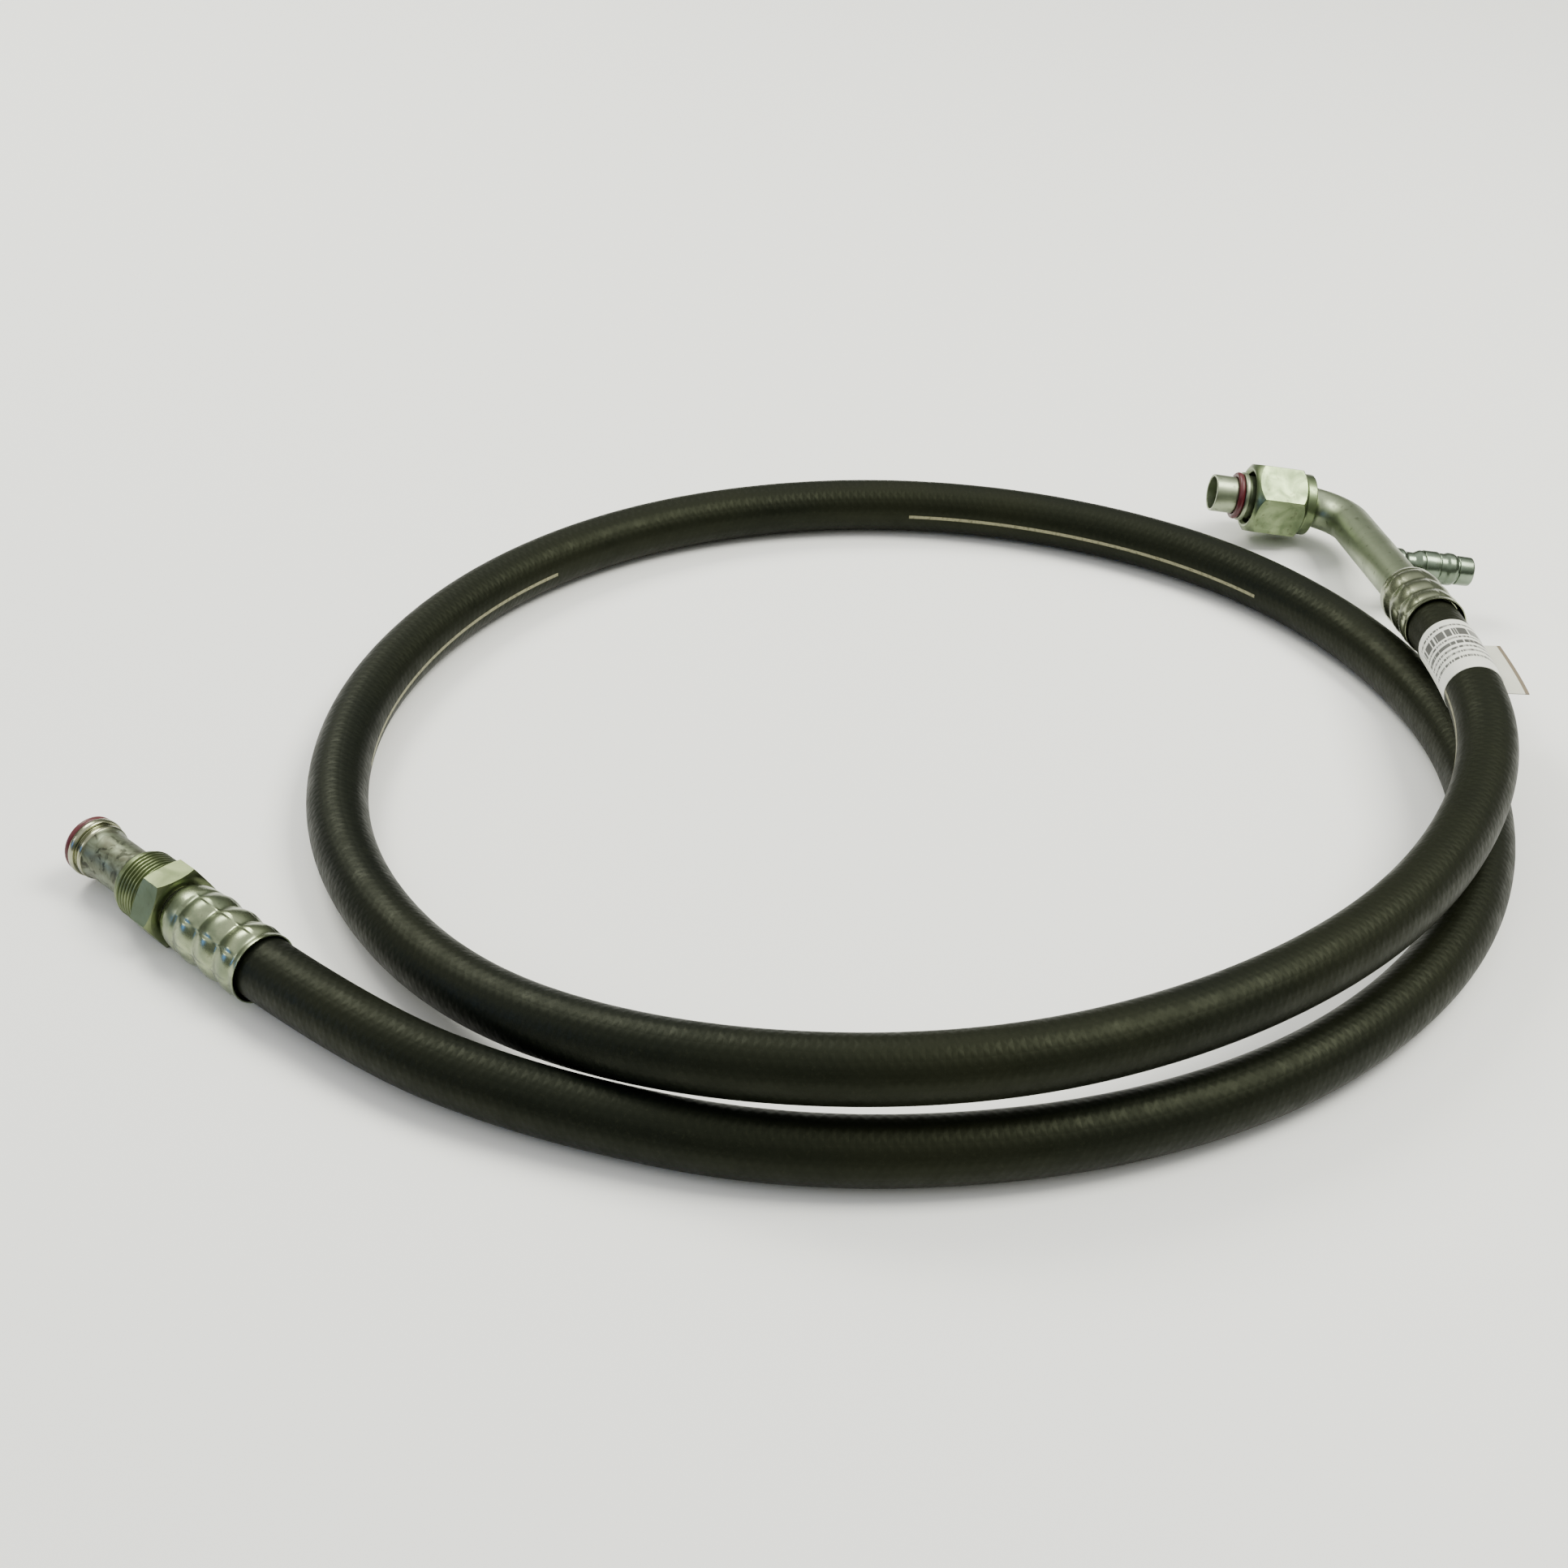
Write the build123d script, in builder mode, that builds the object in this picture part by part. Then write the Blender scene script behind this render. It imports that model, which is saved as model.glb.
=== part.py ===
"""Refrigerant hose assembly: a barrier hose with two crimped O-ring end fittings.

One end fitting is a 90 degree elbow with a female nut and a service port.
The other is straight, with a male insert nut.
Lengths are in millimetres, +Z is up and the assembly lies on the plane z = 0.
Every separate piece is written to its own STEP file.
"""

import os
from math import radians, tan

from build123d import *

os.makedirs("parts", exist_ok=True)

# ---------------------------------------------------------------------------
# Driving dimensions
# ---------------------------------------------------------------------------

# Layers of the hose wall, from the bore outwards.
HOSE_BORE_RADIUS = 6.35
INNER_TUBE_RADIUS = 7.6
BARRIER_RADIUS = 7.8
TIE_LAYER_RADIUS = 8.4
BRAID_RADIUS = 9.0
COVER_RADIUS = 10.0

# Corner points of the hose centreline, from the elbow end to the straight end.
# The first turn is raised and crosses over the turn that lies on the floor.
HOSE_ROUTE = [
    (209.5, 65.5, 26.0),
    (216.0, -5.5, 36.0),
    (211.0, -63.0, 31.0),
    (171.0, -134.0, 31.0),
    (108.0, -189.0, 33.0),
    (33.0, -221.0, 34.5),
    (-51.0, -214.0, 28.0),
    (-119.0, -169.0, 14.0),
    (-164.0, -98.0, 10.0),
    (-171.0, -18.0, 10.0),
    (-142.0, 62.0, 10.0),
    (-85.0, 121.0, 10.0),
    (-7.0, 151.0, 10.0),
    (75.0, 148.0, 10.0),
    (151.0, 113.0, 10.0),
    (202.0, 48.0, 10.0),
    (219.0, -33.0, 10.0),
    (199.0, -114.0, 10.0),
    (146.0, -178.0, 10.0),
    (75.0, -217.0, 10.0),
    (-10.0, -230.0, 10.0),
    (-85.0, -213.5, 10.0),
    (-142.0, -187.0, 11.5),
    (-194.0, -142.0, 11.5),
]
CORNER_SHARE = 0.45  # share of the shorter run that each corner arc uses

# Fitting tube, 5/8 inch outside diameter.
TUBE_RADIUS = 7.94
TUBE_BORE_RADIUS = 6.44
PILOT_RADIUS = 7.4
PILOT_CHAMFER = 0.6
O_RING_SEAT_RADIUS = 6.95
O_RING_SEAT_LENGTH = 2.5
BEAD_RADIUS = 9.6
BEAD_THICKNESS = 2.0
BEAD_ROUNDING = 0.3
O_RING_SECTION_RADIUS = 1.25

# Crimped connection between hose, stem and ferrule.
HOSE_INSERTION = 31.0
STEM_BORE_RADIUS = 4.75
STEM_BARB_ROOT_RADIUS = 5.9
STEM_BARB_PITCH = 4.0
STEM_BARB_COUNT = 6
STEM_TIP_LENGTH = 3.0
STEM_SPIGOT_LENGTH = 6.0
STEM_COLLAR_RADIUS = 8.5
STEM_COLLAR_LENGTH = 1.0
STEM_GROOVE_RADIUS = 7.0
STEM_BARB_CREST_SHARE = 0.75  # share of each barb's pitch taken by its slope
FERRULE_CREST_RADIUS = 11.4
FERRULE_TROUGH_RADIUS = 10.8
FERRULE_RIM_RADIUS = 11.2
FERRULE_ROOT_RADIUS = 8.6
FERRULE_FIRST_CREST = 5.6
FERRULE_CREST_PITCH = 10.0
FERRULE_MOUTH_BORE_RADIUS = 10.6
FERRULE_MOUTH_DEPTH = 2.0

# Elbow end, measured from the corner of the tube centreline.
ELBOW_LEG_LENGTH = 123.7
ELBOW_BEND_RADIUS = 20.0
ELBOW_NOSE_DIRECTION = (-0.989, -0.072, 0.132)
ELBOW_FERRULE_LENGTH = 34.0
ELBOW_FERRULE_STEP_LENGTH = 3.6
ELBOW_PILOT_LENGTH = 11.4
ELBOW_BEAD_FRONT = 42.0
ELBOW_NUT_FRONT = 38.6
ELBOW_NUT_HEX_BACK = 17.3
ELBOW_NUT_BACK = 13.0
ELBOW_NUT_ACROSS_FLATS = 27.0
ELBOW_NUT_TURN = 17.0
THREAD_MAJOR_RADIUS = 11.1
THREAD_MINOR_RADIUS = 10.25
THREAD_PITCH = 1.411

# Service port, measured from the elbow tube axis.
PORT_FROM_CORNER = 58.0
PORT_TIP = 36.3
PORT_BRAZE_END = 9.4
PORT_COLLAR_END = 11.3
PORT_NECK_END = 14.3
PORT_BODY_START = 15.6
PORT_BODY_END = 21.5
PORT_GROOVE_START = 22.8
PORT_GROOVE_END = 24.4
PORT_RING_START = 25.4
PORT_RING_END = 28.1
PORT_TIP_START = 30.3
PORT_TIP_END = 34.6
PORT_BRAZE_RADIUS = 5.6
PORT_COLLAR_RADIUS = 4.6
PORT_SPIGOT_RADIUS = 3.0
PORT_HEAD_RADIUS = 6.2
PORT_GROOVE_RADIUS = 5.0
PORT_TIP_RADIUS = 5.6
PORT_EDGE_ROUNDING = 0.2
PORT_TIP_CHAMFER = 0.9
PORT_MOUTH_BORE_RADIUS = 4.2
PORT_CORE_BORE_RADIUS = 2.6
PORT_CHAMBER_RADIUS = 2.2
PORT_PASSAGE_RADIUS = 1.5

# Straight end, measured from the hose end of its ferrule.
STRAIGHT_FERRULE_LENGTH = 38.5
STRAIGHT_FERRULE_STEP_LENGTH = 7.0
STRAIGHT_PILOT_LENGTH = 3.6
STRAIGHT_TUBE_START = 40.5
STRAIGHT_NUT_BACK = 39.6
STRAIGHT_NUT_HEX_FRONT = 48.6
STRAIGHT_NUT_FRONT = 61.1
STRAIGHT_NUT_ACROSS_FLATS = 23.0
STRAIGHT_BEAD_FRONT = 86.4
NUT_BORE_RADIUS = 8.2

# ---------------------------------------------------------------------------
# Shared frames and the hose centreline
# ---------------------------------------------------------------------------

route = [Vector(*point) for point in HOSE_ROUTE]

corner_radii = []
for before, corner, after in zip(route, route[1:], route[2:]):
    run_in = corner - before
    run_out = after - corner
    turn = radians(run_in.get_angle(run_out))
    shorter_run = min(run_in.length, run_out.length)
    corner_radii.append(CORNER_SHARE * shorter_run / tan(turn / 2))

with BuildLine() as hose_line:
    FilletPolyline(*route, radius=corner_radii)

hose_path = hose_line.wires()[0]
hose_start_plane = Plane(origin=route[0], z_dir=route[1] - route[0])

# The elbow's leg continues the first run of the hose backwards.
leg_direction = (route[1] - route[0]).normalized()
elbow_mouth = route[0] + leg_direction * HOSE_INSERTION
elbow_corner = elbow_mouth - leg_direction * ELBOW_LEG_LENGTH
leg_start_plane = Plane(
    origin=elbow_corner, x_dir=ELBOW_NOSE_DIRECTION, z_dir=leg_direction
)
nose_direction = leg_start_plane.x_dir
port_direction = nose_direction * -1
port_root = elbow_corner + leg_direction * PORT_FROM_CORNER

# In each profile plane, local x runs along the axis and local y is the radius.
elbow_profile = Plane(
    origin=elbow_mouth, x_dir=leg_direction * -1, z_dir=nose_direction
)
nose_profile = Plane(
    origin=elbow_corner, x_dir=nose_direction, z_dir=leg_direction
)
port_profile = Plane(origin=port_root, x_dir=port_direction, z_dir=leg_direction)
elbow_axis = Axis(elbow_mouth, leg_direction * -1)
nose_axis = Axis(elbow_corner, nose_direction)
port_axis = Axis(port_root, port_direction)

# The straight fitting continues the last run of the hose.
straight_direction = (route[-1] - route[-2]).normalized()
straight_mouth = route[-1] - straight_direction * HOSE_INSERTION
straight_profile = Plane(
    origin=straight_mouth,
    x_dir=straight_direction,
    z_dir=straight_direction.cross(Vector(0, 0, 1)),
)
straight_axis = Axis(straight_mouth, straight_direction)

# ---------------------------------------------------------------------------
# Hose inner tube: chlorinated rubber, extruded
# ---------------------------------------------------------------------------

with BuildPart() as hose_inner_tube:
    with BuildSketch(hose_start_plane):
        Circle(INNER_TUBE_RADIUS)
        Circle(HOSE_BORE_RADIUS, mode=Mode.SUBTRACT)
    sweep(path=hose_path)
hose_inner_tube.part.label = "hose_inner_tube"
export_step(hose_inner_tube.part, "parts/hose_inner_tube.step")

# ---------------------------------------------------------------------------
# Hose barrier: thin polyamide film that holds the refrigerant in
# ---------------------------------------------------------------------------

with BuildPart() as hose_barrier:
    with BuildSketch(hose_start_plane):
        Circle(BARRIER_RADIUS)
        Circle(INNER_TUBE_RADIUS, mode=Mode.SUBTRACT)
    sweep(path=hose_path)
hose_barrier.part.label = "hose_barrier"
export_step(hose_barrier.part, "parts/hose_barrier.step")

# ---------------------------------------------------------------------------
# Hose tie layer: rubber that bonds the barrier to the braid
# ---------------------------------------------------------------------------

with BuildPart() as hose_tie_layer:
    with BuildSketch(hose_start_plane):
        Circle(TIE_LAYER_RADIUS)
        Circle(BARRIER_RADIUS, mode=Mode.SUBTRACT)
    sweep(path=hose_path)
hose_tie_layer.part.label = "hose_tie_layer"
export_step(hose_tie_layer.part, "parts/hose_tie_layer.step")

# ---------------------------------------------------------------------------
# Hose braid: polyester yarn reinforcement
# ---------------------------------------------------------------------------

with BuildPart() as hose_braid:
    with BuildSketch(hose_start_plane):
        Circle(BRAID_RADIUS)
        Circle(TIE_LAYER_RADIUS, mode=Mode.SUBTRACT)
    sweep(path=hose_path)
hose_braid.part.label = "hose_braid"
export_step(hose_braid.part, "parts/hose_braid.step")

# ---------------------------------------------------------------------------
# Hose cover: black weather-resistant rubber
# ---------------------------------------------------------------------------

with BuildPart() as hose_cover:
    with BuildSketch(hose_start_plane):
        Circle(COVER_RADIUS)
        Circle(BRAID_RADIUS, mode=Mode.SUBTRACT)
    sweep(path=hose_path)
hose_cover.part.label = "hose_cover"
export_step(hose_cover.part, "parts/hose_cover.step")

# ---------------------------------------------------------------------------
# Hose label: film wrapped round the cover, its free end stuck to itself as a tab
# ---------------------------------------------------------------------------

LABEL_START = 46.0
LABEL_END = 81.0
LABEL_RADIUS = 10.15
LABEL_TAB_REACH = 19.0
LABEL_TAB_THICKNESS = 0.3

label_path = hose_path.trim(LABEL_START / hose_path.length, LABEL_END / hose_path.length)
label_plane = Plane(origin=label_path @ 0, x_dir=(1, 0, 0), z_dir=label_path % 0)
label_tab_length = LABEL_TAB_REACH - COVER_RADIUS

with BuildPart() as hose_label:
    with BuildSketch(label_plane):
        Circle(LABEL_RADIUS)
        with Locations((COVER_RADIUS + label_tab_length / 2, 0)):
            Rectangle(label_tab_length, LABEL_TAB_THICKNESS)
        Circle(COVER_RADIUS, mode=Mode.SUBTRACT)
    sweep(path=label_path)
hose_label.part.label = "hose_label"
export_step(hose_label.part, "parts/hose_label.step")

# ---------------------------------------------------------------------------
# Elbow ferrule: steel shell crimped round the hose in three bands
# ---------------------------------------------------------------------------

elbow_lip_start = HOSE_INSERTION + STEM_COLLAR_LENGTH
root_step_start = ELBOW_FERRULE_LENGTH - ELBOW_FERRULE_STEP_LENGTH
crest_stations = [FERRULE_FIRST_CREST + FERRULE_CREST_PITCH * step for step in range(3)]
trough_stations = [station + FERRULE_CREST_PITCH / 2 for station in crest_stations[:2]]

with BuildPart() as elbow_ferrule:
    with BuildSketch(elbow_profile):
        with BuildLine():
            Spline(
                (0, FERRULE_RIM_RADIUS),
                (crest_stations[0], FERRULE_CREST_RADIUS),
                (trough_stations[0], FERRULE_TROUGH_RADIUS),
                (crest_stations[1], FERRULE_CREST_RADIUS),
                (trough_stations[1], FERRULE_TROUGH_RADIUS),
                (crest_stations[2], FERRULE_CREST_RADIUS),
                (root_step_start, FERRULE_TROUGH_RADIUS),
                (ELBOW_FERRULE_LENGTH, FERRULE_ROOT_RADIUS),
            )
            Polyline(
                (ELBOW_FERRULE_LENGTH, FERRULE_ROOT_RADIUS),
                (ELBOW_FERRULE_LENGTH, STEM_GROOVE_RADIUS),
                (elbow_lip_start, STEM_GROOVE_RADIUS),
                (elbow_lip_start, COVER_RADIUS),
                (FERRULE_MOUTH_DEPTH, COVER_RADIUS),
                (0, FERRULE_MOUTH_BORE_RADIUS),
                (0, FERRULE_RIM_RADIUS),
            )
        make_face()
    revolve(axis=elbow_axis)
elbow_ferrule.part.label = "elbow_ferrule"
export_step(elbow_ferrule.part, "parts/elbow_ferrule.step")

# ---------------------------------------------------------------------------
# Elbow stem: barbed steel insert, brazed into the elbow tube
# ---------------------------------------------------------------------------

STEM_FLUSH_LENGTH = 2.0

elbow_tube_start = ELBOW_FERRULE_LENGTH + STEM_FLUSH_LENGTH
elbow_spigot_end = elbow_tube_start + STEM_SPIGOT_LENGTH

with BuildPart() as elbow_stem:
    with BuildSketch(elbow_profile):
        with BuildLine():
            Polyline(
                (STEM_TIP_LENGTH, STEM_BORE_RADIUS),
                (STEM_TIP_LENGTH, STEM_BARB_ROOT_RADIUS),
                (HOSE_INSERTION, STEM_BARB_ROOT_RADIUS),
                (HOSE_INSERTION, STEM_COLLAR_RADIUS),
                (elbow_lip_start, STEM_COLLAR_RADIUS),
                (elbow_lip_start, STEM_GROOVE_RADIUS),
                (ELBOW_FERRULE_LENGTH, STEM_GROOVE_RADIUS),
                (ELBOW_FERRULE_LENGTH, TUBE_RADIUS),
                (elbow_tube_start, TUBE_RADIUS),
                (elbow_tube_start, TUBE_BORE_RADIUS),
                (elbow_spigot_end, TUBE_BORE_RADIUS),
                (elbow_spigot_end, STEM_BORE_RADIUS),
                close=True,
            )
        make_face()
        for barb in range(STEM_BARB_COUNT):
            barb_start = STEM_TIP_LENGTH + barb * STEM_BARB_PITCH
            with BuildLine():
                Polyline(
                    (barb_start, STEM_BARB_ROOT_RADIUS),
                    (barb_start + STEM_BARB_PITCH * STEM_BARB_CREST_SHARE, HOSE_BORE_RADIUS),
                    (barb_start + STEM_BARB_PITCH, HOSE_BORE_RADIUS),
                    (barb_start + STEM_BARB_PITCH, STEM_BARB_ROOT_RADIUS),
                    close=True,
                )
            make_face()
    revolve(axis=elbow_axis)
elbow_stem.part.label = "elbow_stem"
export_step(elbow_stem.part, "parts/elbow_stem.step")

# ---------------------------------------------------------------------------
# Elbow tube: bent steel tube with a formed bead and pilot at its nose
# ---------------------------------------------------------------------------

elbow_bead_back = ELBOW_BEAD_FRONT - BEAD_THICKNESS
elbow_seat_end = ELBOW_BEAD_FRONT + O_RING_SEAT_LENGTH
elbow_nose_tip = ELBOW_BEAD_FRONT + ELBOW_PILOT_LENGTH
tube_bend_start = elbow_mouth - leg_direction * elbow_tube_start
tube_bend_end = elbow_corner + nose_direction * elbow_bead_back

with BuildLine() as elbow_line:
    FilletPolyline(
        tube_bend_start, elbow_corner, tube_bend_end, radius=ELBOW_BEND_RADIUS
    )

with BuildPart() as elbow_tube:
    with BuildSketch(Plane(origin=tube_bend_start, z_dir=leg_direction * -1)):
        Circle(TUBE_RADIUS)
        Circle(TUBE_BORE_RADIUS, mode=Mode.SUBTRACT)
    sweep(path=elbow_line.wires()[0])
    with BuildSketch(nose_profile):
        with BuildLine():
            Polyline(
                (elbow_bead_back, TUBE_BORE_RADIUS),
                (elbow_bead_back, BEAD_RADIUS - BEAD_ROUNDING),
                (elbow_bead_back + BEAD_ROUNDING, BEAD_RADIUS),
                (ELBOW_BEAD_FRONT - BEAD_ROUNDING, BEAD_RADIUS),
                (ELBOW_BEAD_FRONT, BEAD_RADIUS - BEAD_ROUNDING),
                (ELBOW_BEAD_FRONT, O_RING_SEAT_RADIUS),
                (elbow_seat_end, O_RING_SEAT_RADIUS),
                (elbow_seat_end, PILOT_RADIUS),
                (elbow_nose_tip - PILOT_CHAMFER, PILOT_RADIUS),
                (elbow_nose_tip, PILOT_RADIUS - PILOT_CHAMFER),
                (elbow_nose_tip, TUBE_BORE_RADIUS),
                close=True,
            )
        make_face()
    revolve(axis=nose_axis)
    with BuildSketch(Plane(origin=port_root, z_dir=port_direction)):
        Circle(PORT_SPIGOT_RADIUS)
    extrude(amount=TUBE_RADIUS + 1, mode=Mode.SUBTRACT)
elbow_tube.part.label = "elbow_tube"
export_step(elbow_tube.part, "parts/elbow_tube.step")

# ---------------------------------------------------------------------------
# Elbow O-ring: hydrogenated nitrile ring, seated against the bead
# ---------------------------------------------------------------------------

with BuildPart() as elbow_o_ring:
    with BuildSketch(nose_profile):
        with Locations(
            (ELBOW_BEAD_FRONT + O_RING_SECTION_RADIUS, O_RING_SEAT_RADIUS + O_RING_SECTION_RADIUS)
        ):
            Circle(O_RING_SECTION_RADIUS)
    revolve(axis=nose_axis)
elbow_o_ring.part.label = "elbow_o_ring"
export_step(elbow_o_ring.part, "parts/elbow_o_ring.step")

# ---------------------------------------------------------------------------
# Elbow nut: female hexagon nut, turning freely behind the bead
# ---------------------------------------------------------------------------

NUT_THREAD_END = 26.0
NUT_TUBE_BORE_RADIUS = 8.3
NUT_FLARE_START = 17.5
NUT_FLARE_RADIUS = 10.55
NUT_COLLAR_RADIUS = 12.3
NUT_COLLAR_ROUNDING = 0.4
NUT_NECK_RADIUS = 11.7
NUT_NECK_LENGTH = 0.6
NUT_BACK_CHAMFER_LENGTH = 2.0
NUT_FRONT_SLOPE_LENGTH = 3.2
NUT_FRONT_CHAMFER_LENGTH = 1.8
NUT_FRONT_SLOPE_DROP = 1.1
NUT_FACE_RADIUS = 12.2
NUT_MOUTH_CHAMFER = 0.9
NUT_GROOVE_COUNT = 8
NUT_FIRST_GROOVE = 0.75  # first groove's distance from the bore's step, in pitches
THREAD_ROOT_FLAT = 0.18

nut_corner_radius = ELBOW_NUT_ACROSS_FLATS / 3**0.5
nut_shoulder_radius = nut_corner_radius - NUT_FRONT_SLOPE_DROP
nut_neck_start = ELBOW_NUT_HEX_BACK - NUT_NECK_LENGTH
nut_back_plane = Plane(
    origin=elbow_corner + nose_direction * ELBOW_NUT_HEX_BACK,
    x_dir=leg_direction,
    z_dir=nose_direction,
)

with BuildPart() as elbow_nut:
    with BuildSketch(nut_back_plane):
        RegularPolygon(
            radius=ELBOW_NUT_ACROSS_FLATS / 2,
            side_count=6,
            major_radius=False,
            rotation=ELBOW_NUT_TURN,
        )
    extrude(amount=ELBOW_NUT_FRONT - ELBOW_NUT_HEX_BACK)
    with BuildSketch(nose_profile):
        with BuildLine():
            Polyline(
                (ELBOW_NUT_HEX_BACK, 0),
                (ELBOW_NUT_HEX_BACK, NUT_COLLAR_RADIUS),
                (ELBOW_NUT_HEX_BACK + NUT_BACK_CHAMFER_LENGTH, nut_corner_radius),
                (ELBOW_NUT_FRONT - NUT_FRONT_SLOPE_LENGTH, nut_corner_radius),
                (ELBOW_NUT_FRONT - NUT_FRONT_CHAMFER_LENGTH, nut_shoulder_radius),
                (ELBOW_NUT_FRONT, NUT_FACE_RADIUS),
                (ELBOW_NUT_FRONT, 0),
                close=True,
            )
        make_face()
    revolve(axis=nose_axis, mode=Mode.INTERSECT)
    with BuildSketch(nose_profile):
        with BuildLine():
            Polyline(
                (ELBOW_NUT_BACK, 0),
                (ELBOW_NUT_BACK, NUT_COLLAR_RADIUS - NUT_COLLAR_ROUNDING),
                (ELBOW_NUT_BACK + NUT_COLLAR_ROUNDING, NUT_COLLAR_RADIUS),
                (nut_neck_start - NUT_COLLAR_ROUNDING, NUT_COLLAR_RADIUS),
                (nut_neck_start, NUT_NECK_RADIUS),
                (ELBOW_NUT_HEX_BACK, NUT_NECK_RADIUS),
                (ELBOW_NUT_HEX_BACK, 0),
                close=True,
            )
        make_face()
    revolve(axis=nose_axis)
    with BuildSketch(nose_profile):
        with BuildLine():
            Polyline(
                (ELBOW_NUT_BACK, 0),
                (ELBOW_NUT_BACK, NUT_FLARE_RADIUS),
                (NUT_FLARE_START, NUT_TUBE_BORE_RADIUS),
                (NUT_THREAD_END, NUT_TUBE_BORE_RADIUS),
                (NUT_THREAD_END, THREAD_MINOR_RADIUS),
                (ELBOW_NUT_FRONT - NUT_MOUTH_CHAMFER, THREAD_MINOR_RADIUS),
                (ELBOW_NUT_FRONT, THREAD_MAJOR_RADIUS),
                (ELBOW_NUT_FRONT, 0),
                close=True,
            )
        make_face()
    revolve(axis=nose_axis, mode=Mode.SUBTRACT)
    for turn_number in range(NUT_GROOVE_COUNT):
        groove_centre = NUT_THREAD_END + THREAD_PITCH * (turn_number + NUT_FIRST_GROOVE)
        with BuildSketch(nose_profile):
            with BuildLine():
                Polyline(
                    (groove_centre - THREAD_PITCH / 2 + THREAD_ROOT_FLAT, THREAD_MINOR_RADIUS),
                    (groove_centre - THREAD_ROOT_FLAT / 2, THREAD_MAJOR_RADIUS),
                    (groove_centre + THREAD_ROOT_FLAT / 2, THREAD_MAJOR_RADIUS),
                    (groove_centre + THREAD_PITCH / 2 - THREAD_ROOT_FLAT, THREAD_MINOR_RADIUS),
                    close=True,
                )
            make_face()
        revolve(axis=nose_axis, mode=Mode.SUBTRACT)
elbow_nut.part.label = "elbow_nut"
export_step(elbow_nut.part, "parts/elbow_nut.step")

# ---------------------------------------------------------------------------
# Service port: steel body brazed to the elbow tube, bored for a valve core
# ---------------------------------------------------------------------------

CORE_HEAD_TOP = 28.3
CORE_HEAD_BOTTOM = 24.0
GASKET_BOTTOM = 22.8
PORT_CHAMBER_BOTTOM = 11.6
PORT_MOUTH_DEPTH = 6.0

with BuildPart() as service_port:
    with BuildSketch(port_profile):
        with BuildLine():
            Polyline(
                (0, 0),
                (0, PORT_BRAZE_RADIUS),
                (TUBE_RADIUS, PORT_BRAZE_RADIUS),
                (PORT_BRAZE_END, PORT_COLLAR_RADIUS),
                (PORT_COLLAR_END, PORT_COLLAR_RADIUS),
                (PORT_COLLAR_END + PORT_EDGE_ROUNDING, PORT_COLLAR_RADIUS - PORT_EDGE_ROUNDING),
                (PORT_NECK_END, PORT_COLLAR_RADIUS - PORT_EDGE_ROUNDING),
                (PORT_BODY_START, PORT_HEAD_RADIUS - PORT_EDGE_ROUNDING),
                (PORT_BODY_END, PORT_HEAD_RADIUS),
                (PORT_GROOVE_START, PORT_GROOVE_RADIUS),
                (PORT_GROOVE_END, PORT_GROOVE_RADIUS),
                (PORT_RING_START, PORT_HEAD_RADIUS),
                (PORT_RING_END, PORT_HEAD_RADIUS),
                (PORT_TIP_START - PORT_EDGE_ROUNDING, PORT_TIP_RADIUS - PORT_EDGE_ROUNDING),
                (PORT_TIP_START, PORT_TIP_RADIUS),
                (PORT_TIP_END, PORT_TIP_RADIUS),
                (PORT_TIP, PORT_TIP_RADIUS - PORT_TIP_CHAMFER),
                (PORT_TIP, 0),
                close=True,
            )
        make_face()
    revolve(axis=port_axis)
    with BuildSketch(Plane(origin=elbow_corner, z_dir=leg_direction)):
        Circle(TUBE_RADIUS)
    extrude(amount=ELBOW_LEG_LENGTH, mode=Mode.SUBTRACT)
    with BuildSketch(port_profile):
        with Locations((TUBE_RADIUS, PORT_SPIGOT_RADIUS / 2)):
            Rectangle(2 * (TUBE_RADIUS - TUBE_BORE_RADIUS), PORT_SPIGOT_RADIUS)
    revolve(axis=port_axis)
    with BuildSketch(port_profile):
        with BuildLine():
            Polyline(
                (0, 0),
                (0, PORT_PASSAGE_RADIUS),
                (PORT_CHAMBER_BOTTOM, PORT_PASSAGE_RADIUS),
                (PORT_CHAMBER_BOTTOM, PORT_CHAMBER_RADIUS),
                (GASKET_BOTTOM, PORT_CHAMBER_RADIUS),
                (GASKET_BOTTOM, PORT_CORE_BORE_RADIUS),
                (PORT_TIP - PORT_MOUTH_DEPTH, PORT_CORE_BORE_RADIUS),
                (PORT_TIP - PORT_MOUTH_DEPTH, PORT_MOUTH_BORE_RADIUS),
                (PORT_TIP, PORT_MOUTH_BORE_RADIUS),
                (PORT_TIP, 0),
                close=True,
            )
        make_face()
    revolve(axis=port_axis, mode=Mode.SUBTRACT)
service_port.part.label = "service_port"
export_step(service_port.part, "parts/service_port.step")

# ---------------------------------------------------------------------------
# Valve core body: turned brass, screwed into the service port
# ---------------------------------------------------------------------------

CORE_BARREL_RADIUS = 1.9
CORE_CAVITY_RADIUS = 1.45
CORE_SEAT_HOLE_RADIUS = 1.1
CORE_GUIDE_RADIUS = 0.8
CORE_BOTTOM = 15.6
CORE_SEAT_TOP = 16.4
CORE_GUIDE_BOTTOM = 26.5

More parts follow.
